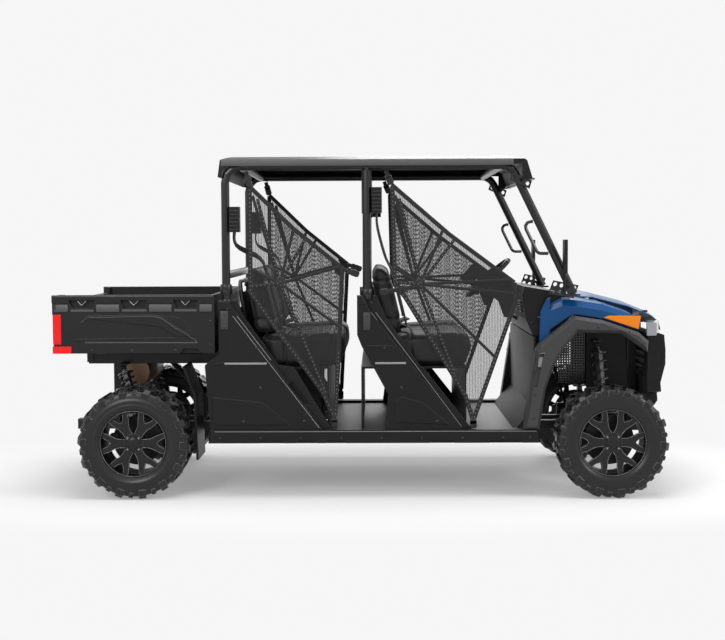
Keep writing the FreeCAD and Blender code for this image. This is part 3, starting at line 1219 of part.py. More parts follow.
def build_front():
    fascia = new_body("front_fascia")
    sheet = sketch_on(fascia, "fascia_outline", "XZ_Plane")
    outline(sheet, body_shares(FASCIA_SHARES))
    pad(fascia, sheet, "fascia_width", "fascia_block", midplane=True)
    slots = sketch_on(fascia, "grille_slots", "YZ_Plane", FASCIA_BACK)
    for level in SLOT_LEVELS:
        low, high = f"{level} * body_height", f"{level} * body_height + slot_height"
        outline(slots, [("-(grille_half - slot_height)", low), ("grille_half - slot_height", low), ("grille_half", high),
                        ("-grille_half", high)])
    pocket(fascia, slots, "fascia_width", "grille", reverse=True)
    for name, sense in (("right", "-"), ("left", "")):
        corner = sketch_on(fascia, f"{name}_wheel_corner", "YZ_Plane", FASCIA_BACK)
        inner, outer = f"{sense}lower_fascia_half", f"{sense}(fascia_width / 2 + overrun)"
        outline(corner, [(inner, TYRE_CLEAR_FOOT), (outer, TYRE_CLEAR_FOOT), (outer, TYRE_CLEAR_LEVEL),
                         (inner, f"{TYRE_CLEAR_LEVEL} - slot_height")])
        pocket(fascia, corner, "fascia_width", f"{name}_wheel_clearance", reverse=True)
    node("front_fascia", fascia)

    flare = new_body("right_flare")
    side_panel(flare, "flare", body_shares(FLARE_SHARES), "flare_inner", "flare_outer - flare_step")
    bevelled_panel(flare, "flare_face", body_shares(FLARE_SHARES), "flare_outer - flare_step", "flare_outer")
    side_cut(flare, "marker_recess", body_shares(MARKER_SHARES), "flare_outer - recess", "flare_outer + overrun")
    node("front_flares", flare, mirrored(flare))

    shell = made("right_fender_skin", fender_part(FENDER_STATIONS, S.hood_width / 2 + S.moving_gap))
    shoulder = made("right_fender_shoulder", fender_part(SHOULDER_STATIONS, S.dash_width / 2 + S.moving_gap))
    shelf = block("right_hinge_block", (f"{HOOD_PIN} - 4 * hinge_radius", f"{HOOD_PIN} + 4 * hinge_radius"),
                  ("-(hood_width / 2 + 2 * moving_gap + hinge_length)", "-(hood_width / 2 + moving_gap)"),
                  (f"{HOOD_PIN_LEVEL} - 2 * hinge_radius", HINGE_BLOCK_HEAD))
    joined = fused("right_fender_union", [shell, shoulder, shelf])
    pin = VEC(value(HOOD_PIN), 0, value(HOOD_PIN_LEVEL))
    bored = DOC.addObject("Part::Cut", "right_fender_bored")
    bored.Base = joined
    bored.Tool = made("hood_bore", rod(pin - VEC(0, S.hood_width, 0), pin, S.hinge_radius + S.running_gap))
    node("front_fenders", bored, mirrored(bored))

    edge = S.hood_width / 2
    extras = [made("hood_hinge", rod(pin - VEC(0, edge + S.moving_gap + S.hinge_length, 0),
                                     pin + VEC(0, edge + S.moving_gap + S.hinge_length, 0), S.hinge_radius))]
    for side in (-1, 1):
        width = sorted((side * edge, side * (edge - S.hinge_length)))
        boss = solid_box(VEC(pin.x - 2 * S.hinge_radius, width[0], pin.z - 2 * S.hinge_radius),
                         VEC(pin.x + 2 * S.hinge_radius, width[1], HOOD_BOSS_HEAD * S.body_height))
        extras.append(made(f"hood_boss_{side + 1}", boss))
    rib = new_body("right_hood_rib")
    foot = f"{TOWER_LEVEL} + frame_tube + seat_gap"
    side_panel(rib, "hood_rib", body_shares([(across, foot if up is None else up) for across, up in HOOD_RIB_SHARES]),
               "front_rail_in + frame_tube / 2", "front_rail_in + frame_tube / 2 + hood_skin")
    node("hood", fused("hood_union", [made("hood_skin", hood_form()), rib, mirrored(rib)] + extras))

    dash = new_body("dash_block")
    sheet = sketch_on(dash, "dash_outline", "XZ_Plane")
    outline(sheet, body_shares(DASH_SHARES))
    pad(dash, sheet, "dash_width", "dash_block_pad", midplane=True)
    column = column_points()
    tool = made("column_clearance", bar(column[0], column[1], S.column_radius + S.seat_gap))
    cut = DOC.addObject("Part::Cut", "dashboard")
    cut.Base = dash
    cut.Tool = tool
    node("dashboard", cut)

    turn = new_body("right_turn_lamp")
    side_panel(turn, "turn_lamp", body_shares(TURN_LAMP_SHARES), "fender_width / 2 + seat_gap",
               "fender_width / 2 + seat_gap + lamp_skin")
    node("turn_lamps", turn, mirrored(turn))
    head = new_body("right_headlamp")
    plan = sketch_on(head, "headlamp_plan", "XY_Plane", f"{FASCIA_HEAD} * body_height + seat_gap")
    outline(plan, [(f"{share} * wheel_base", f"-({side})") for share, side in HEADLAMP_PLAN])
    pad(head, plan, "lamp_height", "headlamp_block")
    node("headlamps", head, mirrored(head))


# Steering
WHEEL_CENTRE_SHARES = (0.2975, 1.0535)
COLUMN_SHARES = (0.437, 0.683)
RIM_SIDES = 18
RIM_FLAT_SHARE = 0.5


def column_points():
    """The steering wheel's centre, the joint ahead of the firewall and the pinion on the rack."""
    centre = VEC(WHEEL_CENTRE_SHARES[0] * S.wheel_base, S.driver_offset, WHEEL_CENTRE_SHARES[1] * S.body_height)
    joint = VEC(COLUMN_SHARES[0] * S.wheel_base, S.driver_offset, COLUMN_SHARES[1] * S.body_height)
    return centre, joint, VEC(rack_place(), S.pinion_place, rack_level())


def rack_place():
    return value(FRONT_AXLE) - S.steer_arm


def rack_level():
    return S.tyre_radius - S.steer_arm_drop + S.steer_arm_thickness / 2 + S.seat_gap + S.tie_eye_height / 2


def build_steering():
    centre, joint, pinion = column_points()
    along = (joint - centre).normalize()
    hub_end = centre + along * S.wheel_hub_length
    across = VEC(0, 1, 0)
    upward = along.cross(across)
    thick, slim = S.wheel_rim_tube, S.wheel_rim_tube * RIM_FLAT_SHARE
    steps = ((-thick, slim), (-slim, thick), (slim, thick), (thick, slim))
    outer, inner = (turned(centre, along, [(reach, S.wheel_rim_radius + sense * swell) for reach, swell in steps],
                           RIM_SIDES) for sense in (1, -1))
    hub_middle = centre + along * (S.wheel_hub_length / 2)
    pieces = [bar(centre, hub_middle, S.wheel_hub_radius, ROUND_SIDES),
              rod(hub_middle, hub_end, S.wheel_hub_radius - S.seat_gap)]
    for direction in (across, across * -1, upward * (1 if upward.z < 0 else -1)):
        pieces.append(bar(centre + along * S.wheel_rim_tube, centre + direction * S.wheel_rim_radius, slim))
    node("steering_wheel", made("steering_wheel", outer.cut(inner).fuse(pieces).removeSplitter()))
    column_start = hub_end + along * S.seat_gap
    housing_radius = S.tie_rod_radius + S.rack_wall
    half = S.rack_half_body
    rack = VEC(pinion.x, 0, pinion.z)
    beyond = VEC(0, half + S.overrun, 0)
    bore = bar(rack - beyond, rack + beyond, S.tie_rod_radius + S.seat_gap)
    housing = bar(rack - VEC(0, half, 0), rack + VEC(0, half, 0), housing_radius)
    ball = ((-S.column_radius, S.column_radius / 2), (0, S.column_radius), (S.column_radius, S.column_radius / 2))
    gear = housing.fuse([bar(column_start, joint, S.column_radius), bar(joint, pinion, S.column_radius / 2),
                         turned(joint, along, ball, SLIM_SIDES),
                         bar(pinion, pinion + (joint - pinion).normalize() * S.frame_tube, housing_radius)])
    node("steering_gear", made("steering_gear", gear.cut(bore).removeSplitter()))
    reach = S.front_track / 2 - S.kingpin_offset - S.tie_rod_inset
    link = bar(rack - VEC(0, reach, 0), rack + VEC(0, reach, 0), S.tie_rod_radius)
    eyes = [plate(rack + VEC(0, side * reach, 0), (0, 0, 1), S.tie_eye_radius, S.tie_eye_height, SLIM_SIDES)
            for side in (-1, 1)]
    node("steering_rack", made("steering_rack", link.fuse(eyes).removeSplitter()))


# Seats, from the side, as shares of the wheel base and the body's height, from the foot of each seat's back
CUSHION_FOOT, BACK_FOOT = f"{SEAT_DECK} + seat_gap", "0.785 * body_height + seat_gap"
BASE_SHARES = ((-0.038, CUSHION_FOOT), (0.148, CUSHION_FOOT), (0.160, 0.720), (0.157, 0.785), (0.145, 0.805),
               (0.0, 0.785), (-0.038, 0.785))
BACK_SHARES = ((0.003, 0.812), (-0.028, 1.125), (-0.040, 1.148), (-0.054, 1.146), (-0.060, 1.120),
               (-0.036, BACK_FOOT), (-0.004, BACK_FOOT))
SEAT_ROWS = (("front", 0.083), ("rear", -0.184))


def build_seats():
    bases, backs = [], []
    spans = (("driver", "seat_inner", "seat_outer"), ("bench", "-seat_outer", "seat_inner - seat_spacing"))
    for row, shift in SEAT_ROWS:
        for place, low, high in spans:
            for kind, shares, store in (("base", BASE_SHARES, bases), ("back", BACK_SHARES, backs)):
                body = new_body(f"{row}_{place}_{kind}")
                sheet = sketch_on(body, f"{row}_{place}_{kind}_outline", "XZ_Plane", f"-({high})")
                outline(sheet, body_shares([(across + shift, up) for across, up in shares]))
                pad(body, sheet, f"({high}) - ({low})", f"{row}_{place}_{kind}_pad")
                store.append(body)
    node("seat_bases", *bases)
    node("seat_backs", *backs)


# Nets in the door openings, as shares of the wheel base and the body's height
NET_HEAD = "cage_top - cage_tube / 2 - seat_gap"
FRONT_NET_SHARES = ((0.048, NET_HEAD), (0.057, NET_HEAD), (0.067, 1.530), (0.185, 1.290), (0.321, 1.054),
                    (0.325, 0.955), (0.312, 0.880), (0.237, 0.380), (0.240, PANEL_FOOT), (0.232, PANEL_FOOT),
                    (0.232, 0.380), (0.218, 0.496), (0.177, 0.653), (0.090, 0.985), (0.070, 1.040), (0.061, 1.530))
REAR_NET_SHARES = ((-0.243, NET_HEAD), (-0.234, NET_HEAD), (-0.229, 1.526), (-0.140, 1.320), (-0.038, 1.128),
                   (-0.047, 0.720), (-0.0535, 0.400), (-0.0535, PANEL_FOOT), (-0.0605, PANEL_FOOT), (-0.0605, 0.400),
                   (-0.084, 0.520), (-0.163, 0.774), (-0.233, 1.010), (-0.236, 1.520))


def build_nets():
    nets = []
    for name, shares in (("front", FRONT_NET_SHARES), ("rear", REAR_NET_SHARES)):
        body = new_body(f"right_{name}_net")
        side_panel(body, f"{name}_net", body_shares(shares), "cage_width / 2 - net_skin / 2",
                   "cage_width / 2 + net_skin / 2")
        nets += [body, mirrored(body)]
    node("side_nets", *nets)


HANDLE_SHARES = (1.350, 1.195)
REEL_SHARES = (1.366, 1.458)
MIRROR_STEM_SHARES = (0.4230, 1.110)
MIRROR_SHARES = ((0.4195, 1.100), (0.4195, 1.262), (0.4265, 1.262), (0.4265, 1.100))


SEAT_FRAME_SHARES = {"foot_place": -0.049, "top_place": -0.074, "top": 1.06}


def build_trim():
    head = new_body("right_mirror_head")
    side_panel(head, "mirror_head", body_shares(MIRROR_SHARES), "mirror_inner", "mirror_inner + mirror_width")
    seat = PILLAR_PLATE_SHARE * S.body_height + S.plate_skin + S.seat_gap
    foot = VEC(MIRROR_STEM_SHARES[0] * S.wheel_base, -(S.mirror_inner + S.stem_radius * 2), seat)
    shank = bar(foot, VEC(foot.x, foot.y, MIRROR_STEM_SHARES[1] * S.body_height), S.stem_radius)
    lug = solid_box(foot - VEC(S.stem_radius, S.stem_radius, 0),
                    VEC(foot.x + S.stem_radius, -S.cage_width / 2 - S.plate_width / 4, seat + S.plate_skin))
    both = fused("right_mirror", [head, made("right_mirror_stem", shank.fuse(lug))])
    node("mirrors", both, mirrored(both))

    handles = []
    top, low = (pillar_point(share) for share in HANDLE_SHARES)
    lean = math.atan2(low.x - top.x, top.z - low.z)
    clear = S.cage_tube / 2 / math.cos(lean) + S.handle_radius * math.tan(lean) + S.seat_gap
    for side in (-1, 1):
        across = side * S.cage_width / 2
        points = [VEC(top.x - clear, across, top.z), VEC(top.x - S.handle_reach, across, top.z),
                  VEC(low.x - S.handle_reach, across, low.z), VEC(low.x - clear, across, low.z)]
        handles.append(bent_tube(points, S.handle_radius, S.handle_bend, SLIM_SIDES))
    node("grab_handles", made("grab_handles", Part.makeCompound(handles)))

    reels = []
    places = ((value(REAR_HOOP), 0, REEL_SHARES[0]), (value(MIDDLE_POST), S.sleeve_skin, REEL_SHARES[1]))
    for at, skin, level in places:
        radius = S.cage_tube / 2 + skin + S.seat_gap
        for side in (-1, 1):
            centre = VEC(at + radius + S.reel_depth / 2, side * S.cage_width / 2, level * S.body_height)
            half = VEC(S.reel_depth / 2, S.reel_width / 2, S.reel_height / 2)
            reels.append(solid_box(centre - half, centre + half))
    node("belt_reels", made("belt_reels", Part.makeCompound(reels)))

    frames = []
    for row, shift in SEAT_ROWS:
        for low, high in ((-S.seat_outer, S.seat_inner - S.seat_spacing), (S.seat_inner, S.seat_outer)):
            foot_x = (shift + SEAT_FRAME_SHARES["foot_place"]) * S.wheel_base
            top_x = (shift + SEAT_FRAME_SHARES["top_place"]) * S.wheel_base
            top = SEAT_FRAME_SHARES["top"] * S.body_height
            deck = value(CUSHION_FOOT)
            foot = deck + S.seat_tube * (foot_x - top_x) / (top - deck)
            inset = S.frame_inset
            points = [VEC(foot_x, low + inset, foot), VEC(top_x, low + inset, top), VEC(top_x, high - inset, top),
                      VEC(foot_x, high - inset, foot)]
            frames.append(bent_tube(points, S.seat_tube, S.seat_tube * 4, SLIM_SIDES))
    node("seat_frames", made("seat_frames", Part.makeCompound(frames)))


def pillar_point(share):
    """A point on the centre line of the front pillar at a share of the body's height."""
    foot = VEC(FRONT_FOOT_SHARE * S.wheel_base, 0, PILLAR_PLATE_SHARE * S.body_height + S.plate_skin)
    head = VEC(FRONT_BEND_SHARE * S.wheel_base, 0, S.cage_top)
    along = (share * S.body_height - foot.z) / (head.z - foot.z)
    return foot + (head - foot) * along


ENGINE_PLACE = ("-0.275 * wheel_base", "-0.090 * wheel_base")
MUFFLER_PLACE = "-0.503 * wheel_base"
MUFFLER_LEVEL = "0.585 * body_height"
MUFFLER_SIDES = 14
MUFFLER_RIBS = 4
RIB_DROP_SHARE = 0.94
MUDGUARD_SHARES = ((-0.352, 0.175), (-0.347, 0.175), (-0.352, 0.500), (-0.375, 0.640), (-0.380, 0.640),
                   (-0.357, 0.500))


def build_power():
    engine = block("engine_block", ENGINE_PLACE, ("-engine_width / 2", "engine_width / 2"),
                   (f"{FRAME_TOP} + seat_gap", f"{FRAME_TOP} + seat_gap + engine_height"))
    node("engine_block", engine)

    centre = VEC(value(MUFFLER_PLACE), 0, value(MUFFLER_LEVEL))
    half = VEC(0, S.muffler_length / 2, 0)
    # ribs round the half of the silencer on the passenger's side, then a plain shell
    low, high = S.muffler_radius * RIB_DROP_SHARE, S.muffler_radius
    step = S.muffler_length / 2 / (3 * MUFFLER_RIBS)
    profile = [(0, low)]
    for index in range(MUFFLER_RIBS):
        start = (3 * index + 1) * step
        profile += [(start, low), (start + step / 2, high), (start + step, high), (start + 3 * step / 2, low)]
    profile += [(S.muffler_length / 2 + step, high), (S.muffler_length - step, high), (S.muffler_length, low)]
    muffler = turned(centre - half, VEC(0, 1, 0), profile, MUFFLER_SIDES)
    stand = value(STAND) + S.frame_tube + S.seat_gap
    straps = [solid_box(VEC(stand, middle - S.saddle_width / 2, centre.z - S.saddle_width / 2),
                        VEC(centre.x, middle + S.saddle_width / 2, centre.z + S.saddle_width / 2))
              for middle in (S.frame_tube / 2 - S.keel_width / 2, S.keel_width / 2 - S.frame_tube / 2)]
    node("exhaust_muffler", made("exhaust_muffler", muffler.fuse(straps).removeSplitter()))

    guard = new_body("right_mudguard")
    side_panel(guard, "mudguard", body_shares(MUDGUARD_SHARES), "guard_inner", "guard_outer")
    node("rear_mudguards", guard, mirrored(guard))


def write_parts():
    DOC.recompute()
    problems = [item.Name for item in DOC.Objects if "Invalid" in item.State or "Error" in item.State]
    problems += [label for label, item in NODES.items() if item.Shape.isNull() or not item.Shape.isValid()]
    if problems:
        raise RuntimeError("failed: " + ", ".join(problems))
    os.makedirs("parts", exist_ok=True)
    for label, item in NODES.items():
        item.Shape.exportStep(os.path.join("parts", label + ".step"))
        print(label, len(item.Shape.Solids), round(item.Shape.Volume / 1000), "cm3")


build_wheels()
build_corners()
build_frame()
build_floor()
build_side_panels()
build_cage()
build_roof()
build_cargo_box()
build_strut()
build_front()
build_steering()
build_seats()
build_nets()
build_trim()
build_power()
write_parts()
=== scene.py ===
"""Looks of a two-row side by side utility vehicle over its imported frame."""

from __future__ import annotations

import json
import logging
import math
from dataclasses import dataclass, field
from enum import Enum
from typing import ClassVar, Iterable, Sequence

import bmesh
import bpy
from mathutils import Matrix, Vector
from mathutils.bvhtree import BVHTree

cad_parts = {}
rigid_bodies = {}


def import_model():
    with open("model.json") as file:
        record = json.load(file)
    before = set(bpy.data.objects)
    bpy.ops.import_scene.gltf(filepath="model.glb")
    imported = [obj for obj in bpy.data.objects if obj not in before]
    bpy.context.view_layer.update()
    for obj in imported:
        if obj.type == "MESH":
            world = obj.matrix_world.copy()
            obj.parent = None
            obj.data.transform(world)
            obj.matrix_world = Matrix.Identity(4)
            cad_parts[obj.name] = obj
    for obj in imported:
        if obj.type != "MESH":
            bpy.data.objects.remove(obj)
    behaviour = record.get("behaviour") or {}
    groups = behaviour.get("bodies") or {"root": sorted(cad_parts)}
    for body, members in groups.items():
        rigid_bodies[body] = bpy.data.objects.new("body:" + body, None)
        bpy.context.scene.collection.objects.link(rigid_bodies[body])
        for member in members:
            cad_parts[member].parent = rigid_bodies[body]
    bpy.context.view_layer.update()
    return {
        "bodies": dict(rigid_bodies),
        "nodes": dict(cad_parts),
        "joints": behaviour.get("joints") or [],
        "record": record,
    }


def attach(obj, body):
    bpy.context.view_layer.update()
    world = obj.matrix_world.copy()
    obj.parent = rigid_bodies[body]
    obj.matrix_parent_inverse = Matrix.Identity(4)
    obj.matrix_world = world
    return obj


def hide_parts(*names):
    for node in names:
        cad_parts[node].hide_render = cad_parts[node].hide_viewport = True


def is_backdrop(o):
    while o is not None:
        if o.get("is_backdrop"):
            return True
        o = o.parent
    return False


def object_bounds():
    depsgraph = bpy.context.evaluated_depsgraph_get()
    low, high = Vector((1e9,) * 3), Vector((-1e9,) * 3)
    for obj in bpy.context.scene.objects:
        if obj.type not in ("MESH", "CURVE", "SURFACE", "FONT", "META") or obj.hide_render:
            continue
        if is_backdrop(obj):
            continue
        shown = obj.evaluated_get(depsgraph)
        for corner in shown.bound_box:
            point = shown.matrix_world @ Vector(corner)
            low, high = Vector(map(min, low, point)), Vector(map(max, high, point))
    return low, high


LOG = logging.getLogger("side_by_side")
Colour = tuple[float, float, float]
Point = tuple[float, float, float]
Pair = tuple[float, float]
Outline = tuple[Pair, ...]

AHEAD = Vector((1.0, 0.0, 0.0))
ACROSS = Vector((0.0, 1.0, 0.0))
UP = Vector((0.0, 0.0, 1.0))
SOFT_EDGE = math.radians(35)
WELD = 1e-6


class Side(Enum):
    """The two sides of the vehicle; the value is the sign along Y."""

    RIGHT = -1
    LEFT = 1

    @property
    def hand(self) -> str:
        """The side's word in the names of pieces and bodies."""
        return self.name.lower()

    @property
    def outward(self) -> Vector:
        """The direction away from the vehicle's middle."""
        return Vector((0.0, float(self.value), 0.0))


class Graph:
    """Adds nodes to one tree and joins them."""

    def __init__(self, tree: bpy.types.NodeTree) -> None:
        """Keeps the tree that the nodes go into."""
        self.tree = tree

    def node(self, kind: str, **settings: object) -> bpy.types.Node:
        """Adds one node.

        Args:
            kind: the node's type name.
            settings: attributes of the node to set.

        Returns:
            The new node.
        """
        made = self.tree.nodes.new(kind)
        for name, value in settings.items():
            setattr(made, name, value)
        return made

    def join(self, output: bpy.types.NodeSocket, entry: bpy.types.NodeSocket) -> None:
        """Joins an output to an input."""
        self.tree.links.new(output, entry)

    def maths(self, operation: str, first: object, second: object = None) -> bpy.types.NodeSocket:
        """Adds a Math node.

        Args:
            operation: the node's operation.
            first: a socket or a number.
            second: a socket or a number, where the operation takes two.

        Returns:
            The node's output.
        """
        made = self.node("ShaderNodeMath", operation=operation)
        for index, item in enumerate((first, second)):
            if isinstance(item, bpy.types.NodeSocket):
                self.join(item, made.inputs[index])
            elif item is not None:
                made.inputs[index].default_value = item
        return made.outputs[0]


class SurfaceGroups:
    """Node groups that several finishes share."""

    noise_share = 0.22
    grain_detail = 3.0
    tone_detail = 5.0
    chip_scale = 38.0
    chip_detail = 4.0
    edge_gain = 5.0
    wave_turn = 1.3
    wave_height = 0.30
    columns_per_pitch = 0.5

    def __init__(self) -> None:
        """Builds each group once."""
        self.grain = self._grain()
        self.wear = self._wear()
        self.tone = self._tone()
        self.mesh = self._mesh()

    @staticmethod
    def _start(name: str, entries: Sequence[tuple[str, float]],
               result: str) -> tuple[Graph, bpy.types.Node, bpy.types.Node]:
        """Starts a group with number inputs and one number output.

        Args:
            name: the group's name.
            entries: each input's name and value.
            result: the output's name.

        Returns:
            The graph, the group's input node and its output node.
        """
        tree = bpy.data.node_groups.new(name, "ShaderNodeTree")
        for label, value in entries:
            socket = tree.interface.new_socket(name=label, in_out="INPUT", socket_type="NodeSocketFloat")
            socket.default_value = value
        tree.interface.new_socket(name=result, in_out="OUTPUT", socket_type="NodeSocketFloat")
        graph = Graph(tree)
        return graph, graph.node("NodeGroupInput"), graph.node("NodeGroupOutput")

    def _grain(self) -> bpy.types.NodeTree:
        """A fine leathery or moulded grain as a height."""
        graph, entry, result = self._start("moulded_grain", (("Scale", 900.0), ("Coarse", 0.35)), "Height")
        place = graph.node("ShaderNodeTexCoord")
        cells = graph.node("ShaderNodeTexVoronoi", feature="SMOOTH_F1")
        noise = graph.node("ShaderNodeTexNoise")
        for texture in (cells, noise):
            graph.join(place.outputs["Object"], texture.inputs["Vector"])
        graph.join(entry.outputs["Scale"], cells.inputs["Scale"])
        graph.join(graph.maths("MULTIPLY", entry.outputs["Scale"], self.noise_share), noise.inputs["Scale"])
        noise.inputs["Detail"].default_value = self.grain_detail
        coarse = graph.maths("MULTIPLY", noise.outputs["Fac"], entry.outputs["Coarse"])
        graph.join(graph.maths("ADD", cells.outputs["Distance"], coarse), result.inputs["Height"])
        return graph.tree

    def _wear(self) -> bpy.types.NodeTree:
        """A mask along convex edges, broken up by noise: wear, and on the tyre a painted highlight on the lug edges."""
        graph, entry, result = self._start("edge_wear", (("Radius", 0.003), ("Amount", 0.5)), "Mask")
        bevel = graph.node("ShaderNodeBevel", samples=3)
        graph.join(entry.outputs["Radius"], bevel.inputs["Radius"])
        geometry = graph.node("ShaderNodeNewGeometry")
        dot = graph.node("ShaderNodeVectorMath", operation="DOT_PRODUCT")
        graph.join(bevel.outputs["Normal"], dot.inputs[0])
        graph.join(geometry.outputs["Normal"], dot.inputs[1])
        edge = graph.maths("SUBTRACT", 1.0, dot.outputs["Value"])
        place = graph.node("ShaderNodeTexCoord")
        noise = graph.node("ShaderNodeTexNoise")
        noise.inputs["Scale"].default_value = self.chip_scale
        noise.inputs["Detail"].default_value = self.chip_detail
        graph.join(place.outputs["Object"], noise.inputs["Vector"])
        broken = graph.maths("MULTIPLY", graph.maths("MULTIPLY", edge, self.edge_gain), noise.outputs["Fac"])
        scaled = graph.node("ShaderNodeClamp")
        graph.join(graph.maths("MULTIPLY", broken, entry.outputs["Amount"]), scaled.inputs["Value"])
        graph.join(scaled.outputs["Result"], result.inputs["Mask"])
        return graph.tree

    def _tone(self) -> bpy.types.NodeTree:
        """A slow change of tone over the surface."""
        graph, entry, result = self._start("slow_tone", (("Scale", 4.0), ("Amount", 0.25)), "Mask")
        place = graph.node("ShaderNodeTexCoord")
        noise = graph.node("ShaderNodeTexNoise")
        noise.inputs["Detail"].default_value = self.tone_detail
        graph.join(place.outputs["Object"], noise.inputs["Vector"])
        graph.join(entry.outputs["Scale"], noise.inputs["Scale"])
        graph.join(graph.maths("MULTIPLY", noise.outputs["Fac"], entry.outputs["Amount"]), result.inputs["Mask"])
        return graph.tree

    def _mesh(self) -> bpy.types.NodeTree:
        """Open mesh of wavy rows crossed by thinner columns: 1 on its threads and 0 in its holes."""
        graph, entry, result = self._start("open_mesh", (("Pitch", 0.0046), ("Row", 0.46), ("Column", 0.24)), "Mask")
        place = graph.node("ShaderNodeTexCoord")
        parts = graph.node("ShaderNodeSeparateXYZ")
        graph.join(place.outputs["Object"], parts.inputs["Vector"])
        along = graph.maths("DIVIDE", parts.outputs["X"], entry.outputs["Pitch"])
        up = graph.maths("DIVIDE", parts.outputs["Z"], entry.outputs["Pitch"])
        turn = graph.maths("SINE", graph.maths("MULTIPLY", along, self.wave_turn))
        wave = graph.maths("MULTIPLY", turn, self.wave_height)
        row = graph.maths("LESS_THAN", graph.maths("FRACT", graph.maths("ADD", up, wave)), entry.outputs["Row"])
        line = graph.maths("FRACT", graph.maths("MULTIPLY", along, self.columns_per_pitch))
        column = graph.maths("LESS_THAN", line, entry.outputs["Column"])
        graph.join(graph.maths("MAXIMUM", row, column), result.inputs["Mask"])
        return graph.tree


@dataclass(frozen=True)
class Finish:
    """A painted, moulded or cast surface."""

    coat_roughness: ClassVar[float] = 0.08
    lighter_gain: ClassVar[float] = 1.5
    lighter_lift: ClassVar[float] = 0.004
    roughness_by_tone: ClassVar[float] = 0.35
    grain_height: ClassVar[float] = 0.0006

    name: str
    colour: Colour
    roughness: float
    # Colour along convex edges: wear on most finishes, a painted highlight on the tyre.
    worn: Colour = (0.30, 0.30, 0.31)
    metallic: float = 0.0
    coat: float = 0.0
    grain_scale: float = 900.0
    grain_depth: float = 0.12
    wear: float = 0.25
    tone: float = 0.22
    sheen: float = 0.0
    specular: float = 0.35
    edge: float = 0.004

    def build(self, groups: SurfaceGroups) -> bpy.types.Material:
        """Makes the material.

        Args:
            groups: the shared node groups.

        Returns:
            The finished material.
        """
        material = bpy.data.materials.new(self.name)
        material.use_nodes = True
        graph = Graph(material.node_tree)
        shader = material.node_tree.nodes["Principled BSDF"]
        shader.inputs["Metallic"].default_value = self.metallic
        shader.inputs["Coat Weight"].default_value = self.coat
        shader.inputs["Coat Roughness"].default_value = self.coat_roughness
        shader.inputs["Sheen Weight"].default_value = self.sheen
        shader.inputs["Specular IOR Level"].default_value = self.specular
        tone = self._group(graph, groups.tone, Amount=self.tone)
        wear = self._group(graph, groups.wear, Amount=self.wear)
        grain = self._group(graph, groups.grain, Scale=self.grain_scale)
        lighter = tuple(min(1.0, channel * self.lighter_gain + self.lighter_lift) for channel in self.colour)
        first = self._blend(graph, tone.outputs["Mask"], self.colour, lighter)
        second = self._blend(graph, wear.outputs["Mask"], first, self.worn)
        graph.join(second, shader.inputs["Base Color"])
        duller = graph.maths("MULTIPLY", tone.outputs["Mask"], self.roughness_by_tone)
        rough = graph.maths("ADD", duller, self.roughness)
        graph.join(rough, shader.inputs["Roughness"])
        bump = graph.node("ShaderNodeBump")
        bump.inputs["Strength"].default_value = self.grain_depth
        bump.inputs["Distance"].default_value = self.grain_height
        graph.join(grain.outputs["Height"], bump.inputs["Height"])
        rounded = graph.node("ShaderNodeBevel", samples=4)
        rounded.inputs["Radius"].default_value = self.edge
        graph.join(rounded.outputs["Normal"], bump.inputs["Normal"])
        graph.join(bump.outputs["Normal"], shader.inputs["Normal"])
        self.extend(graph, shader, groups)
        return material

    def extend(self, graph: Graph, shader: bpy.types.Node, groups: SurfaceGroups) -> None:
        """Adds what one kind of finish has beyond the rest; the plain one adds nothing."""

    @staticmethod
    def _group(graph: Graph, tree: bpy.types.NodeTree, **values: float) -> bpy.types.Node:
        """Places a shared group with its own values."""
        made = graph.node("ShaderNodeGroup", node_tree=tree)
        for label, value in values.items():
            made.inputs[label].default_value = value
        return made

    @staticmethod
    def _blend(graph: Graph, factor: bpy.types.NodeSocket, first: object, second: object) -> bpy.types.NodeSocket:
        """Mixes two colours, each a socket or a value, by a factor."""
        mix = graph.node("ShaderNodeMix", data_type="RGBA")
        graph.join(factor, mix.inputs["Factor"])
        for label, item in (("A", first), ("B", second)):
            socket = next(entry for entry in mix.inputs if entry.name == label and entry.type == "RGBA")
            if isinstance(item, bpy.types.NodeSocket):
                graph.join(item, socket)
            else:
                socket.default_value = (*item, 1.0)
        return next(out for out in mix.outputs if out.type == "RGBA")


@dataclass(frozen=True)
class MeshFinish(Finish):
    """Open mesh cloth, cut out by alpha."""

    pitch: float = 0.0046
    row: float = 0.46
    column: float = 0.24

    def extend(self, graph: Graph, shader: bpy.types.Node, groups: SurfaceGroups) -> None:
        """Cuts the holes."""
        holes = self._group(graph, groups.mesh, Pitch=self.pitch, Row=self.row, Column=self.column)
        graph.join(holes.outputs["Mask"], shader.inputs["Alpha"])


@dataclass(frozen=True)
class LensFinish(Finish):
    """A lamp's coloured lens."""

    # A painted glow: the lens gives off light though its lamp is not lit.
    glow: float = 0.0
    lens_specular: ClassVar[float] = 0.4

    def extend(self, graph: Graph, shader: bpy.types.Node, groups: SurfaceGroups) -> None:
        """Gives the lens its gloss and a painted glow: the unlit lens gives off a little light."""
        shader.inputs["Emission Color"].default_value = (*self.colour, 1.0)
        shader.inputs["Emission Strength"].default_value = self.glow
        shader.inputs["Specular IOR Level"].default_value = self.lens_specular


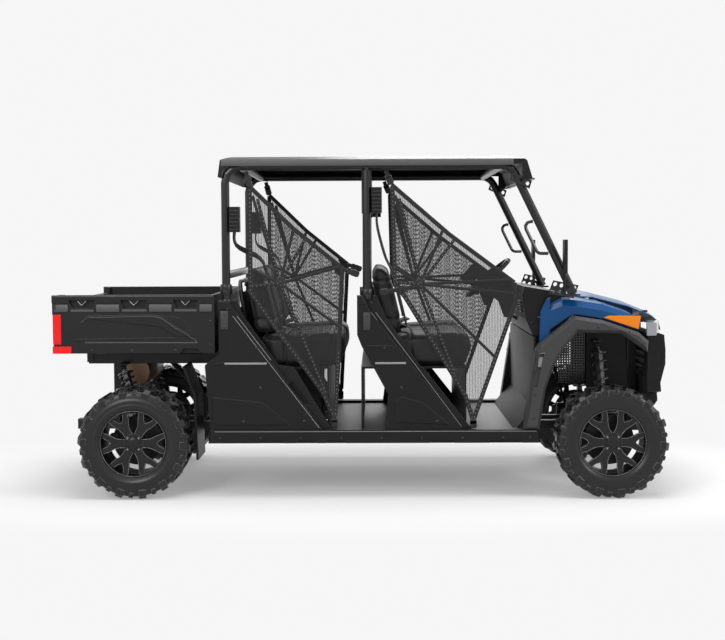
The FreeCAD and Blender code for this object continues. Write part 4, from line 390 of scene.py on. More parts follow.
FINISHES: dict[str, Finish] = {
    # The tyre's lighter colour along the lug edges is a painted highlight, laid through the edge wear mask.
    "tyre": Finish("tyre_rubber", (0.004, 0.004, 0.0043), 0.30, worn=(0.20, 0.20, 0.20), grain_scale=500, wear=0.9,
                   specular=0.42, edge=0.006),
    "wheel": Finish("satin_black_wheel", (0.005, 0.005, 0.0055), 0.28, coat=0.12, grain_depth=0.03, specular=0.28),
    "chassis": Finish("powder_coat_frame", (0.007, 0.007, 0.0075), 0.36, grain_depth=0.08),
    "arms": Finish("powder_coat_arms", (0.010, 0.010, 0.011), 0.32, grain_depth=0.08),
    "drive": Finish("cast_housing", (0.050, 0.050, 0.053), 0.50, metallic=0.6, grain_scale=420, grain_depth=0.3),
    "cage": Finish("powder_coat_cage", (0.007, 0.007, 0.0075), 0.26, coat=0.10, grain_depth=0.05),
    "trim": Finish("grained_trim", (0.008, 0.008, 0.0084), 0.40, worn=(0.12, 0.12, 0.12), grain_depth=0.25, wear=0.5,
                   specular=0.20),
    "bed": Finish("grained_bed", (0.012, 0.0122, 0.0128), 0.38, worn=(0.14, 0.14, 0.14), grain_depth=0.25, wear=0.5,
                  specular=0.22),
    "flare": Finish("grained_flare", (0.042, 0.042, 0.044), 0.46, worn=(0.14, 0.14, 0.14), grain_depth=0.25),
    # Light grey bands on the bed; as the bed's light edge lines and the roof's band it is a painted highlight.
    "band": Finish("grained_band", (0.088, 0.088, 0.089), 0.42, grain_depth=0.2),
    "hood": Finish("blue_clear_coat", (0.001, 0.056, 0.185), 0.34, worn=(0.004, 0.11, 0.30), coat=0.22,
                   grain_depth=0.02, tone=0.30, specular=0.20, edge=0.006),
    # Both coloured lenses carry a painted glow.
    "red_lens": LensFinish("red_lens", (0.75, 0.004, 0.002), 0.20, worn=(0.8, 0.03, 0.01), grain_depth=0.0,
                           glow=0.22),
    "amber_lens": LensFinish("amber_lens", (0.80, 0.20, 0.002), 0.20, worn=(0.9, 0.4, 0.05), grain_depth=0.0,
                             glow=0.18),
    "clear_lens": LensFinish("clear_lens", (0.30, 0.31, 0.33), 0.10, worn=(0.6, 0.6, 0.6), coat=0.6,
                             grain_depth=0.0),
    "seat": Finish("coated_seat_cloth", (0.010, 0.010, 0.011), 0.48, grain_scale=650, grain_depth=0.35, sheen=0.08),
    "net": MeshFinish("door_net_mesh", (0.018, 0.018, 0.019), 0.65, grain_depth=0.0, wear=0.0, edge=0.0),
    "webbing": Finish("woven_webbing", (0.008, 0.008, 0.009), 0.58, grain_scale=700, grain_depth=0.5, sheen=0.10),
    "eyelet": Finish("net_eyelets", (0.13, 0.13, 0.135), 0.40, grain_depth=0.02, wear=0.0),
    # Steel for the nuts and hooks; on the rims' edge lines it is a painted highlight.
    "steel_and_highlight": Finish("machined_steel", (0.26, 0.26, 0.27), 0.30, metallic=0.9, grain_depth=0.03),
    "fastener": Finish("dark_zinc_fastener", (0.030, 0.030, 0.032), 0.36, metallic=0.7, grain_depth=0.03),
    # Pale lines; on the cab's panels, sill and ledges they are painted highlights.
    "pale_trim": Finish("pale_grey_trim", (0.30, 0.30, 0.305), 0.45, grain_depth=0.15),
    # Gloss black trim; the dark lines on the bed and under the roof's band are painted shade in it.
    "trim_gloss": Finish("gloss_black_trim", (0.006, 0.006, 0.0065), 0.22, coat=0.2, grain_depth=0.02),
    "coil": Finish("coated_spring_steel", (0.055, 0.055, 0.058), 0.30, worn=(0.3, 0.3, 0.3), metallic=0.5, wear=0.5,
                   grain_depth=0.03),
    "strut": Finish("polished_rod", (0.50, 0.50, 0.51), 0.18, metallic=1.0, grain_depth=0.02),
    "engine": Finish("engine_casting", (0.040, 0.040, 0.043), 0.50, metallic=0.7, grain_scale=300, grain_depth=0.3),
    "exhaust": Finish("heat_tinted_steel", (0.20, 0.130, 0.080), 0.34, metallic=0.8, grain_depth=0.1, tone=0.6),
}
NODE_FINISHES = {"front_flares": "flare", "shocks": "coil"}
SOFT_NODES = ("side_nets", "seat_bases", "seat_backs")


class Path:
    """Lines that straps and tubes follow."""

    @staticmethod
    def curve(points: Sequence[Point], steps: int = 6) -> list[Vector]:
        """Rounds a line through its points.

        Args:
            points: the places that the line passes.
            steps: pieces between two of them.

        Returns:
            The finer line.
        """
        knots = [Vector(point) for point in points]
        knots = [knots[0] * 2 - knots[1]] + knots + [knots[-1] * 2 - knots[-2]]
        line = []
        for before, start, end, after in zip(knots, knots[1:], knots[2:], knots[3:]):
            for step in range(steps):
                share = step / steps
                line.append(0.5 * (2 * start + (end - before) * share
                                   + (2 * before - 5 * start + 4 * end - after) * share ** 2
                                   + (3 * start - before - 3 * end + after) * share ** 3))
        return line + [knots[-2]]

    @staticmethod
    def marks(points: Sequence[Vector], pitch: float) -> list[Vector]:
        """Places at an even pitch along straight runs."""
        places = []
        for start, end in zip(points, points[1:]):
            count = max(1, int((end - start).length / pitch))
            places += [start.lerp(end, (index + 0.5) / count) for index in range(count)]
        return places


@dataclass(frozen=True)
class HoledPlate:
    """A plate with rows of holes: its lower corner, its width and height as vectors, and its holes.

    A hole's radius is a share of its cell, and the corner's second figure is its distance from the middle.
    """

    corner: Point
    across: Point
    up: Point
    cells: tuple[int, int]
    hole: float
    skin: float


class Form:
    """A mesh under construction, in metres in the vehicle's frame."""

    sunk = 0.0005
    selvedge = 0.4
    draw_in = 1.3
    flange_sides = 16
    hexagon_sides = 6
    dome_sides = 10
    hole_sides = 8
    squaring = 1.42
    bead_turns = (0.0, 1.05, 2.09, 3.14, 4.19, 5.24)
    flange: Outline = ((0.0, 1.45), (0.25, 1.45), (0.45, 1.05))
    hexagon: Outline = ((0.3, 1.0), (0.95, 1.0), (1.15, 0.80), (1.05, 0.30))
    dome: Outline = ((0.0, 1.0), (0.30, 0.92), (0.55, 0.55), (0.62, 0.10))

    def __init__(self) -> None:
        """Starts an empty mesh."""
        self.mesh = bmesh.new()

    def rings(self, rings: Sequence[Sequence[Vector]], closed: bool = True) -> "Form":
        """Joins rings of points into a skin.

        Args:
            rings: rings with the same number of points each.
            closed: whether the first and the last ring get a face.

        Returns:
            The form itself.
        """
        made = [[self.mesh.verts.new(point) for point in ring] for ring in rings]
        for near, far in zip(made, made[1:]):
            for index, vert in enumerate(near):
                follow = (index + 1) % len(near)
                self.mesh.faces.new((vert, near[follow], far[follow], far[index]))
        if closed:
            self.mesh.faces.new(list(reversed(made[0])))
            self.mesh.faces.new(made[-1])
        return self

    def sweep(self, path: Sequence[Vector], face: Vector, profile: Sequence[Pair]) -> "Form":
        """Pushes a profile along a path.

        Args:
            path: the line to follow.
            face: the direction that the profile's second axis keeps to.
            profile: the section, as distances across the path and along face.

        Returns:
            The form itself.
        """
        rings = []
        for index, place in enumerate(path):
            ahead = path[min(index + 1, len(path) - 1)] - path[max(index - 1, 0)]
            outward = (face - ahead * (face.dot(ahead) / ahead.length_squared)).normalized()
            across = ahead.normalized().cross(outward)
            rings.append([place + across * first + outward * second for first, second in profile])
        return self.rings(rings)

    def strap(self, path: Sequence[Vector], face: Vector, width: float, thickness: float) -> "Form":
        """Flat webbing with rounded selvedges along a path."""
        half, thin = width / 2, thickness / 2
        lip, edge = min(thin, half / 3), thin * self.selvedge
        return self.sweep(path, face, ((-half, -edge), (-half + lip, -thin), (half - lip, -thin), (half, -edge),
                                       (half, edge), (half - lip, thin), (-half + lip, thin), (-half, edge)))

    def tube(self, path: Sequence[Vector], face: Vector, radius: float, sides: int = 10) -> "Form":
        """A round bar along a path."""
        turn = 2 * math.pi / sides
        return self.sweep(path, face, [(radius * math.cos(turn * index), radius * math.sin(turn * index))
                                       for index in range(sides)])

    def turned(self, centre: Vector, axis: Vector, profile: Sequence[Pair], sides: int = 24,
               capped: bool = True) -> "Form":
        """A round form about an axis.

        Args:
            centre: the axis' start.
            axis: its direction.
            profile: pairs of distance along the axis and radius.
            sides: facets around it.
            capped: whether its ends get a face.

        Returns:
            The form itself.
        """
        along = axis.normalized()
        first = along.orthogonal().normalized()
        second = along.cross(first)
        turn = 2 * math.pi / sides
        return self.rings([[centre + along * reach + (first * math.cos(turn * index) + second * math.sin(turn * index))
                            * radius for index in range(sides)] for reach, radius in profile], capped)

    def torus(self, centre: Vector, axis: Vector, radius: float, thick: float, sides: int = 64) -> "Form":
        """A bead around an axis."""
        along = axis.normalized()
        first = along.orthogonal().normalized()
        second = along.cross(first)
        made = []
        for index in range(sides):
            angle = 2 * math.pi * index / sides
            outward = first * math.cos(angle) + second * math.sin(angle)
            made.append([self.mesh.verts.new(centre + outward * (radius + thick * math.cos(turn)) + along * thick
                                             * math.sin(turn)) for turn in self.bead_turns])
        for index, ring in enumerate(made):
            far = made[(index + 1) % sides]
            for corner, vert in enumerate(ring):
                follow = (corner + 1) % len(ring)
                self.mesh.faces.new((vert, ring[follow], far[follow], far[corner]))
        return self

    def slab(self, outline: Sequence[Vector], thrust: Vector, chamfer: float = 0.0) -> "Form":
        """A plate from a flat outline, with a chamfer round its outer face.

        Args:
            outline: the corners in order.
            thrust: from the inner face to the outer one.
            chamfer: how far the outer face draws in.

        Returns:
            The form itself.
        """
        rings = [list(outline), [corner + thrust for corner in outline]]
        if chamfer:
            low = thrust * max(0.0, 1.0 - chamfer / thrust.length)
            centre = sum(outline, Vector()) / len(outline)
            inner = [corner + thrust + (centre - corner).normalized() * chamfer * self.draw_in for corner in outline]
            rings = [list(outline), [corner + low for corner in outline], inner]
        return self.rings(rings)

    def bolt(self, seat: Vector | None, axis: Vector, radius: float = 0.008) -> "Form":
        """A flanged hexagon bolt head that stands on its seat; none where there is no seat."""
        if seat is None:
            return self
        self.turned(seat, axis, self._head(self.flange, radius, self.sunk), self.flange_sides)
        return self.turned(seat, axis, self._head(self.hexagon, radius), self.hexagon_sides)

    @staticmethod
    def _head(shares: Outline, radius: float, sunk: float = 0.0) -> list[Pair]:
        """A head's section from its shares of the radius; the foot at 0 may be sunk."""
        return [(reach * radius if reach else -sunk, share * radius) for reach, share in shares]

    def rivet(self, seat: Vector | None, axis: Vector, radius: float) -> "Form":
        """A low round head; none where there is no seat."""
        if seat is None:
            return self
        return self.turned(seat, axis, self._head(self.dome, radius, self.sunk), self.dome_sides)

    def box(self, low: Point, high: Point, chamfer: float = 0.002) -> "Form":
        """A block with chamfered edges between two corners.

        It is made apart and then joined, because faces added after a bevel in the same mesh come in any order.
        """
        block = bmesh.new()
        for vert in bmesh.ops.create_cube(block, size=1.0)["verts"]:
            vert.co = Vector([low[axis] + (vert.co[axis] + 0.5) * (high[axis] - low[axis]) for axis in range(3)])
        bmesh.ops.bevel(block, geom=block.edges[:], offset=chamfer, segments=2, affect="EDGES", profile=0.5)
        data = bpy.data.meshes.new("block")
        block.to_mesh(data)
        block.free()
        self.mesh.from_mesh(data)
        bpy.data.meshes.remove(data)
        return self

    def patch(self, low: Pair, high: Pair, level: float, sense: int, depth: Pair, chamfer: float = 0.003) -> "Form":
        """A low block on one side's surface.

        Args:
            low: its lower corner, along the vehicle and up.
            high: its upper corner.
            level: the surface's place across the vehicle.
            sense: the side's sign.
            depth: how far the block goes in and how far it stands out.
            chamfer: its edges' chamfer.

        Returns:
            The form itself.
        """
        near, far = sorted((level - sense * depth[0], level + sense * depth[1]))
        return self.box((low[0], near, low[1]), (high[0], far, high[1]), chamfer)

    def perforated(self, plate: HoledPlate, sense: int) -> "Form":
        """A plate with rows of holes.

        Args:
            plate: its place and sizes.
            sense: the side's sign.

        Returns:
            The form itself.
        """
        along, reach, level = plate.corner
        corner, across, up = Vector((along, sense * reach, level)), Vector(plate.across), Vector(plate.up)
        (columns, rows), hole = plate.cells, plate.hole
        wide, high = across / columns, up / rows
        normal = across.cross(up).normalized() * plate.skin
        turn = 2 * math.pi / self.hole_sides
        ring = [(math.cos(turn * index), math.sin(turn * index)) for index in range(self.hole_sides)]
        square = [[0.5 * max(-1, min(1, share * self.squaring)) for share in spot] for spot in ring]
        for column in range(columns):
            for row in range(rows):
                centre = corner + wide * (column + 0.5) + high * (row + 0.5)
                outer = [centre + wide * first + high * second for first, second in square]
                inner = [centre + wide * hole * first + high * hole * second for first, second in ring]
                for index in range(self.hole_sides):
                    follow = (index + 1) % self.hole_sides
                    front = [outer[index], outer[follow], inner[follow], inner[index]]
                    self.mesh.faces.new([self.mesh.verts.new(point + normal) for point in front])
                    self.mesh.faces.new([self.mesh.verts.new(point) for point in reversed(front)])
                    wall = [inner[index], inner[follow], inner[follow] + normal, inner[index] + normal]
                    self.mesh.faces.new([self.mesh.verts.new(point) for point in wall])
        return self


@dataclass
class Shop:
    """Puts finished pieces into the scene."""

    materials: dict[str, bpy.types.Material]
    made: list[str] = field(default_factory=list)

    def place(self, name: str, form: Form, finish: str, slot: str, body: str = "chassis",
              smooth: bool = True) -> bpy.types.Object:
        """Makes an object of a form.

        Args:
            name: the piece's name.
            form: its mesh.
            finish: which material it takes.
            slot: the record's material slot; not used.
            body: the body that carries it.
            smooth: whether shading runs over soft edges.

        Returns:
            The new object.
        """
        bmesh.ops.remove_doubles(form.mesh, verts=form.mesh.verts, dist=WELD)
        bmesh.ops.recalc_face_normals(form.mesh, faces=form.mesh.faces)
        data = bpy.data.meshes.new(name)
        form.mesh.to_mesh(data)
        form.mesh.free()
        data.materials.append(self.materials[finish])
        if smooth:
            data.shade_smooth()
            data.set_sharp_from_angle(angle=SOFT_EDGE)
        shape = bpy.data.objects.new(name, data)
        bpy.context.scene.collection.objects.link(shape)
        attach(shape, body)
        self.made.append(name)
        LOG.info("made %s with %d faces", name, len(data.polygons))
        return shape


@dataclass(frozen=True)
class NetPlan:
    """One door net seen from the side: places are pairs along the vehicle and up."""

    name: str
    mesh: Outline
    hub: Pair
    edging: tuple[Outline, ...]
    eyelet_edging: tuple[Outline, ...]
    spokes: Outline
    eyelet_spokes: Outline
    ties: tuple[Outline, ...]
    gusset: Outline


NET_PLANS = (
    NetPlan("front", ((0.184, 1.862), (0.525, 1.567), (0.911, 1.280), (0.922, 1.160), (0.886, 1.069), (0.676, 0.466),
                      (0.659, 0.466), (0.619, 0.603), (0.503, 0.793), (0.256, 1.197), (0.199, 1.264)), (0.353, 1.272),
            (((0.184, 1.862), (0.525, 1.567), (0.911, 1.280)), ((0.911, 1.280), (0.919, 1.160), (0.883, 1.069))),
            (((0.188, 1.850), (0.203, 1.264), (0.262, 1.197), (0.507, 0.796), (0.622, 0.606), (0.664, 0.466)),
             ((0.883, 1.069), (0.672, 0.466))),
            ((0.205, 1.80), (0.486, 1.590), (0.880, 1.296), (0.800, 0.834), (0.203, 1.370), (0.900, 1.215)),
            ((0.230, 1.78), (0.555, 1.535), (0.560, 0.730), (0.203, 1.285)),
            (((0.353, 1.262), (0.110, 1.222)), ((0.150, 1.944), (0.184, 1.862)), ((0.668, 0.470), (0.670, 0.412))),
            ((0.672, 1.262), (0.745, 1.345), (0.780, 1.374), (0.911, 1.280), (0.921, 1.160), (0.886, 1.069),
             (0.850, 1.075), (0.815, 1.170), (0.735, 1.232))),
    NetPlan("rear", ((-0.654, 1.852), (-0.398, 1.604), (-0.109, 1.370), (-0.134, 0.875), (-0.152, 0.488),
                     (-0.171, 0.488), (-0.237, 0.634), (-0.462, 0.942), (-0.661, 1.229)), (-0.481, 1.281),
            (((-0.654, 1.852), (-0.398, 1.604), (-0.109, 1.370)), ((-0.109, 1.370), (-0.134, 0.875))),
            (((-0.656, 1.846), (-0.657, 1.229), (-0.459, 0.944), (-0.234, 0.636), (-0.166, 0.488)),
             ((-0.134, 0.875), (-0.155, 0.488))),
            ((-0.640, 1.800), (-0.400, 1.590), (-0.130, 1.375), (-0.128, 1.020), (-0.657, 1.370)),
            ((-0.610, 1.780), (-0.330, 1.540), (-0.210, 0.620), (-0.657, 1.262)),
            (((-0.109, 1.366), (-0.010, 1.330)), ((-0.678, 1.944), (-0.654, 1.852)),
             ((-0.161, 0.492), (-0.162, 0.412))),
            ((-0.175, 1.405), (-0.150, 1.402), (-0.109, 1.370), (-0.112, 1.318), (-0.150, 1.335))),
)


@dataclass
class DoorNets:
    """Mesh nets in the four door openings, with their webbing, eyelets and latches."""

    shop: Shop
    plane: float = 0.700
    wide: float = 0.026
    narrow: float = 0.018
    thick: float = 0.0034
    eyelet: float = 0.0042
    pitch: float = 0.024
    billow: float = 0.004
    waves: Pair = (9.0, 7.0)
    cell: float = 0.06
    layer: float = 0.00022
    hub_radius: float = 0.030
    hub_turns: tuple[float, ...] = (0.35, 1.2, 2.1, 2.9, 3.8, 4.7, 5.5)
    hub_sunk: float = 0.004
    hub_thick: float = 0.010
    hub_chamfer: float = 0.002
    gusset_proud: float = -0.0042
    gusset_thick: float = 0.0012
    latch: Outline = ((-1, -0.8), (-0.7, -1), (0.7, -1), (1, -0.8), (1, 0.8), (0.7, 1), (-0.7, 1), (-1, 0.8))
    latch_half: float = 0.020
    latch_inset: float = 0.028
    adjuster_share: float = 0.4
    latch_reaches: Pair = (0.024, 0.012)
    latch_thick: float = 0.014
    latch_chamfer: float = 0.003

    def build(self) -> None:
        """Makes the nets of both sides."""
        for side in Side:
            for plan in NET_PLANS:
                self._net(plan, side)

    def _at(self, place: Pair, side: Side, proud: float = 0.0) -> Vector:
        """A place on the net's plane, some way out from it."""
        return Vector((place[0], side.value * (self.plane + proud), place[1]))

    def _cloth(self, plan: NetPlan, side: Side) -> Form:
        """The mesh sheet, cut into a grid and bellied slightly."""
        form = Form()
        form.mesh.faces.new([form.mesh.verts.new(self._at(place, side)) for place in plan.mesh])
        for axis, normal in ((0, AHEAD), (2, UP)):
            low = min(vert.co[axis] for vert in form.mesh.verts)
            high = max(vert.co[axis] for vert in form.mesh.verts)
            for index in range(1, int((high - low) / self.cell)):
                parts = [*form.mesh.verts, *form.mesh.edges, *form.mesh.faces]
                bmesh.ops.bisect_plane(form.mesh, geom=parts, plane_co=normal * (low + index * self.cell),
                                       plane_no=normal)
        for vert in form.mesh.verts:
            if not vert.is_boundary:
                swell = side.value * self.billow * math.sin(vert.co.x * self.waves[0])
                vert.co.y += swell * math.sin(vert.co.z * self.waves[1])
        return form

    def _net(self, plan: NetPlan, side: Side) -> None:
        """One net with everything sewn to it."""
        label, outward = f"{side.hand}_{plan.name}", side.outward
        area = abs(sum(first[0] * second[1] - second[0] * first[1]
                       for first, second in zip(plan.mesh, plan.mesh[1:] + plan.mesh[:1]))) / 2
        cloth = self.shop.place(f"{label}_net_mesh", self._cloth(plan, side), "net", "net", smooth=False)
        webbing, eyelets = Form(), Form()
        runs = [(run, self.wide, False) for run in plan.edging] + [(run, self.wide, True) for run in plan.eyelet_edging]
        runs += [((plan.hub, tip), self.narrow, False) for tip in plan.spokes]
        runs += [((plan.hub, tip), self.narrow, True) for tip in plan.eyelet_spokes]
        runs += [(run, self.wide, False) for run in plan.ties]
        for order, (run, width, studded) in enumerate(runs, 1):
            path = [self._at(place, side, order * self.layer) for place in run]
            webbing.strap(path, outward, width, self.thick)
            if studded:
                for mark in Path.marks(path, self.pitch):
                    eyelets.rivet(mark + outward * self.thick / 2, outward, self.eyelet)
                    eyelets.rivet(mark - outward * self.thick / 2, -outward, self.eyelet)
        hub = self._at(plan.hub, side)
        disc = [hub + Vector((self.hub_radius * math.cos(turn), -side.value * self.hub_sunk,
                              self.hub_radius * math.sin(turn))) for turn in self.hub_turns]
        webbing.slab(disc, outward * self.hub_thick, self.hub_chamfer)
        webbing.slab([self._at(place, side, self.gusset_proud) for place in plan.gusset],
                     outward * self.gusset_thick)
        sewn = [self.shop.place(f"{label}_net_webbing", webbing, "webbing", "net"),
                self.shop.place(f"{label}_net_eyelets", eyelets, "eyelet", "net"),
                self.shop.place(f"{label}_net_latches", self._latches(plan, side), "trim_gloss", "net")]
        xs, zs = [place[0] for place in plan.mesh], [place[1] for place in plan.mesh]
        max(xs) - min(xs)
        max(zs) - min(zs)
        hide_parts("side_nets")

    def _latches(self, plan: NetPlan, side: Side) -> Form:
        """The buckles at the ends of the ties and the adjusters on the webbing."""
        form = Form()
        thrust = side.outward * self.latch_thick
        for run in plan.ties:
            start, end = self._at(run[0], side), self._at(run[-1], side)
            along = (end - start).normalized()
            flat = along.cross(ACROSS)
            places = (end - along * self.latch_inset, start.lerp(end, self.adjuster_share))
            for place, reach in zip(places, self.latch_reaches):
                corners = [place + along * first * reach + flat * second * self.latch_half - thrust / 2
                           for first, second in self.latch]
                form.slab(corners, thrust, self.latch_chamfer)
        return form


@dataclass(frozen=True)
class CushionPlan:
    """One pad seen from the side, in its own seat's place.

    A channel is the axis that it stands at and its place on it; swell is the furthest that the cover moves.
    """

    name: str
    node: str
    outline: Outline
    channels: tuple[tuple[str, float], ...]
    swell: float


@dataclass
class Seats:
    """Upholstered cushions of both rows; each row has one seat for the driver's side and one bench."""

    shop: Shop
    inset: float = 0.012
    voxel: float = 0.011
    pressure: float = 4.0
    frames: int = 20
    seam_depth: float = 0.007
    seam_width: float = 0.010
    seam_inset: float = 0.085
    bench_from: float = 0.6
    bench_seams: int = 3
    # Stations across the pad as shares of its half width, each with its share of the outline.
    pulls: tuple[Pair, ...] = ((-1.0, 0.74), (-0.93, 0.94), (-0.75, 1.0), (0.75, 1.0), (0.93, 0.94), (1.0, 0.74))
    softening: float = 0.6
    softening_rounds: int = 4
    foam_fill: float = 0.8
    # The rows with their shift along the vehicle, and the pads with the places across it that they span.
    rows: tuple[tuple[str, float], ...] = (("front", 0.0), ("rear", -0.7583))
    spans: tuple[tuple[str, float, float], ...] = (("driver", 0.215, 0.645), ("bench", -0.645, 0.201))
    plans: tuple[CushionPlan, ...] = (
        CushionPlan("base", "seat_bases",
                    ((0.128, 0.780), (0.656, 0.780), (0.690, 0.875), (0.682, 0.954), (0.648, 0.976), (0.236, 0.954),
                     (0.128, 0.952)), (("x", 0.585), ("x", 0.300)), 0.014),
        CushionPlan("back", "seat_backs",
                    ((0.244, 0.990), (0.156, 1.367), (0.122, 1.393), (0.082, 1.390), (0.066, 1.360), (0.134, 0.956),
                     (0.225, 0.956)), (("z", 1.290), ("z", 1.060)), 0.014),
    )

    def build(self) -> None:
        """Makes each form once and sets it in both rows."""
        for plan in self.plans:
            for place, low, high in self.spans:
                form = self._pad(plan, low, high)
                for row, shift in self.rows:
                    mesh = Form()
                    mesh.mesh.from_mesh(form)
                    bmesh.ops.translate(mesh.mesh, verts=mesh.mesh.verts, vec=(shift, 0.0, 0.0))
                    pad = self.shop.place(f"{row}_{place}_seat_{plan.name}", mesh, "seat", "seat")
                    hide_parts(plan.node)

    def _pad(self, plan: CushionPlan, low: float, high: float) -> bpy.types.Mesh:
        """The swelled and sewn form of one cushion."""
        centre_x = sum(place[0] for place in plan.outline) / len(plan.outline)
        centre_z = sum(place[1] for place in plan.outline) / len(plan.outline)
        half, middle = (high - low) / 2 - self.inset, (high + low) / 2
        rings = []
        for share, pull in self.pulls:
            ring = []
            for along, up in plan.outline:
                reach = Vector((along - centre_x, 0.0, up - centre_z))
                shrink = max(0.0, 1.0 - self.inset / reach.length) * pull
                foot = 1.0 if pull == 1.0 else 0.5 + 0.5 * pull
                ring.append(Vector((centre_x + reach.x * shrink, middle + share * half,
                                    centre_z + reach.z * (shrink if reach.z > 0 else shrink / pull * foot))))
            rings.append(ring)
        form = Form().rings(rings)
        bmesh.ops.triangulate(form.mesh, faces=[face for face in form.mesh.faces if len(face.verts) > 4])
        bmesh.ops.recalc_face_normals(form.mesh, faces=form.mesh.faces)
        data = bpy.data.meshes.new(f"{plan.name}_form")
        form.mesh.to_mesh(data)
        form.mesh.free()
        shape = bpy.data.objects.new(f"{plan.name}_form", data)
        bpy.context.scene.collection.objects.link(shape)
        self._apply(shape, "REMESH", mode="VOXEL", voxel_size=self.voxel)
        self._apply(shape, "SMOOTH", factor=self.softening, iterations=self.softening_rounds)
        self._swell(shape, plan.swell)
        self._apply(shape, "SUBSURF", levels=1, render_levels=1)
        self._sew(shape.data, plan, low, high)
        result = shape.data
        bpy.data.objects.remove(shape)
        return result

    @staticmethod
    def _apply(shape: bpy.types.Object, kind: str, **settings: object) -> None:
        """Adds one modifier and keeps its result."""
        modifier = shape.modifiers.new(kind.lower(), kind)
        for name, value in settings.items():
            setattr(modifier, name, value)
        Seats._keep(shape)

    @staticmethod
    def _keep(shape: bpy.types.Object) -> None:
        """Replaces the mesh by what the modifiers make of it."""
        bpy.context.view_layer.update()
        graph = bpy.context.evaluated_depsgraph_get()
        result = bpy.data.meshes.new_from_object(shape.evaluated_get(graph))
        shape.modifiers.clear()
        shape.data = result

    def _swell(self, shape: bpy.types.Object, cap: float) -> None:
        """Blows the cover up as foam does, and keeps every point within a cap of its start."""
        start = [vert.co.copy() for vert in shape.data.vertices]
        cloth = shape.modifiers.new("cloth", "CLOTH")
        cloth.settings.use_pressure = True
        cloth.settings.uniform_pressure_force = self.pressure
        cloth.settings.effector_weights.gravity = 0.0
        cloth.point_cache.frame_start, cloth.point_cache.frame_end = 1, self.frames
        for frame in range(1, self.frames + 1):
            bpy.context.scene.frame_set(frame)
        self._keep(shape)
        bpy.context.scene.frame_set(1)
        for vert, old in zip(shape.data.vertices, start):
            move = vert.co - old
            if move.length > cap:
                vert.co = old + move * (cap / move.length)

    def _sew(self, data: bpy.types.Mesh, plan: CushionPlan, low: float, high: float) -> None:
        """Draws the sewn channels into the cover."""
        uprights = [low + self.seam_inset, high - self.seam_inset]
        if high - low >= self.bench_from:
            uprights = [low + (high - low) * (index + 1) / (self.bench_seams + 1)
                        for index in range(self.bench_seams)]
        normals = [vert.normal.copy() for vert in data.vertices]
        for vert, normal in zip(data.vertices, normals):
            value = {"x": vert.co.x, "z": vert.co.z}
            nearest = min([abs(vert.co.y - line) for line in uprights]
                          + [abs(value[axis] - line) for axis, line in plan.channels])
            vert.co -= normal * self.seam_depth * math.exp(-(nearest / self.seam_width) ** 2)


@dataclass
class Belts:
    """Shoulder belts of the four outer seats."""

    shop: Shop
    width: float = 0.046
    thick: float = 0.0016
    steps: int = 5
    # The rows with their shift along the vehicle, the reel's slot and the place below it.
    rows: tuple[tuple[str, float, Point, Point], ...] = (
        ("front", 0.0, (0.096, 0.688, 1.740), (0.100, 0.672, 1.620)),
        ("rear", -0.7583, (-0.746, 0.688, 1.630), (-0.742, 0.672, 1.510)))
    shoulder: tuple[Point, ...] = ((0.150, 0.610, 1.430), (0.195, 0.596, 1.330), (0.258, 0.570, 1.090),
                                   (0.276, 0.560, 1.010))
    lap: tuple[Point, ...] = ((0.276, 0.560, 1.012), (0.300, 0.450, 1.004), (0.262, 0.320, 0.996),
                              (0.225, 0.262, 0.985))
    buckle: tuple[Point, Point] = ((0.205, 0.235, 0.935), (0.245, 0.275, 1.010))
    buckle_chamfer: float = 0.005
    shoulder_face: Point = (0.9, 0.3, 0.3)
    lap_face: Point = (0.35, 0.0, 0.9)

    def build(self) -> None:
        """Makes one belt at each outer seat."""
        for row, shift, reel, guide in self.rows:
            for side in Side:
                sign = side.value
                shoulder, lap, (low, high) = (self._moved(places, shift, sign)
                                              for places in (self.shoulder, self.lap, self.buckle))
                run = self._moved((reel, guide), 0.0, sign) + shoulder
                webbing = Form()
                for places, face in ((run, self.shoulder_face), (lap, self.lap_face)):
                    outward = Vector((face[0], sign * face[1], face[2]))
                    webbing.strap(Path.curve(places, self.steps), outward, self.width, self.thick)
                self.shop.place(f"{row}_{side.hand}_belt", webbing, "webbing", "net")
                near, far = sorted((low[1], high[1]))
                buckle = Form().box((low[0], near, low[2]), (high[0], far, high[2]), self.buckle_chamfer)
                self.shop.place(f"{row}_{side.hand}_belt_buckle", buckle, "trim_gloss", "trim")

    @staticmethod
    def _moved(places: Sequence[Point], shift: float, sign: int) -> list[Point]:
        """Places moved along to a row and set on one side."""
        return [(shift + along, sign * across, up) for along, across, up in places]


@dataclass(frozen=True)
class Strip:
    """A thin strip over one side's surface, along places that are pairs along the vehicle and up."""

    points: Outline
    width: float
    thick: float
    pitch: float = 0.03
    proud: float = 0.0005
    drop: float = 0.0


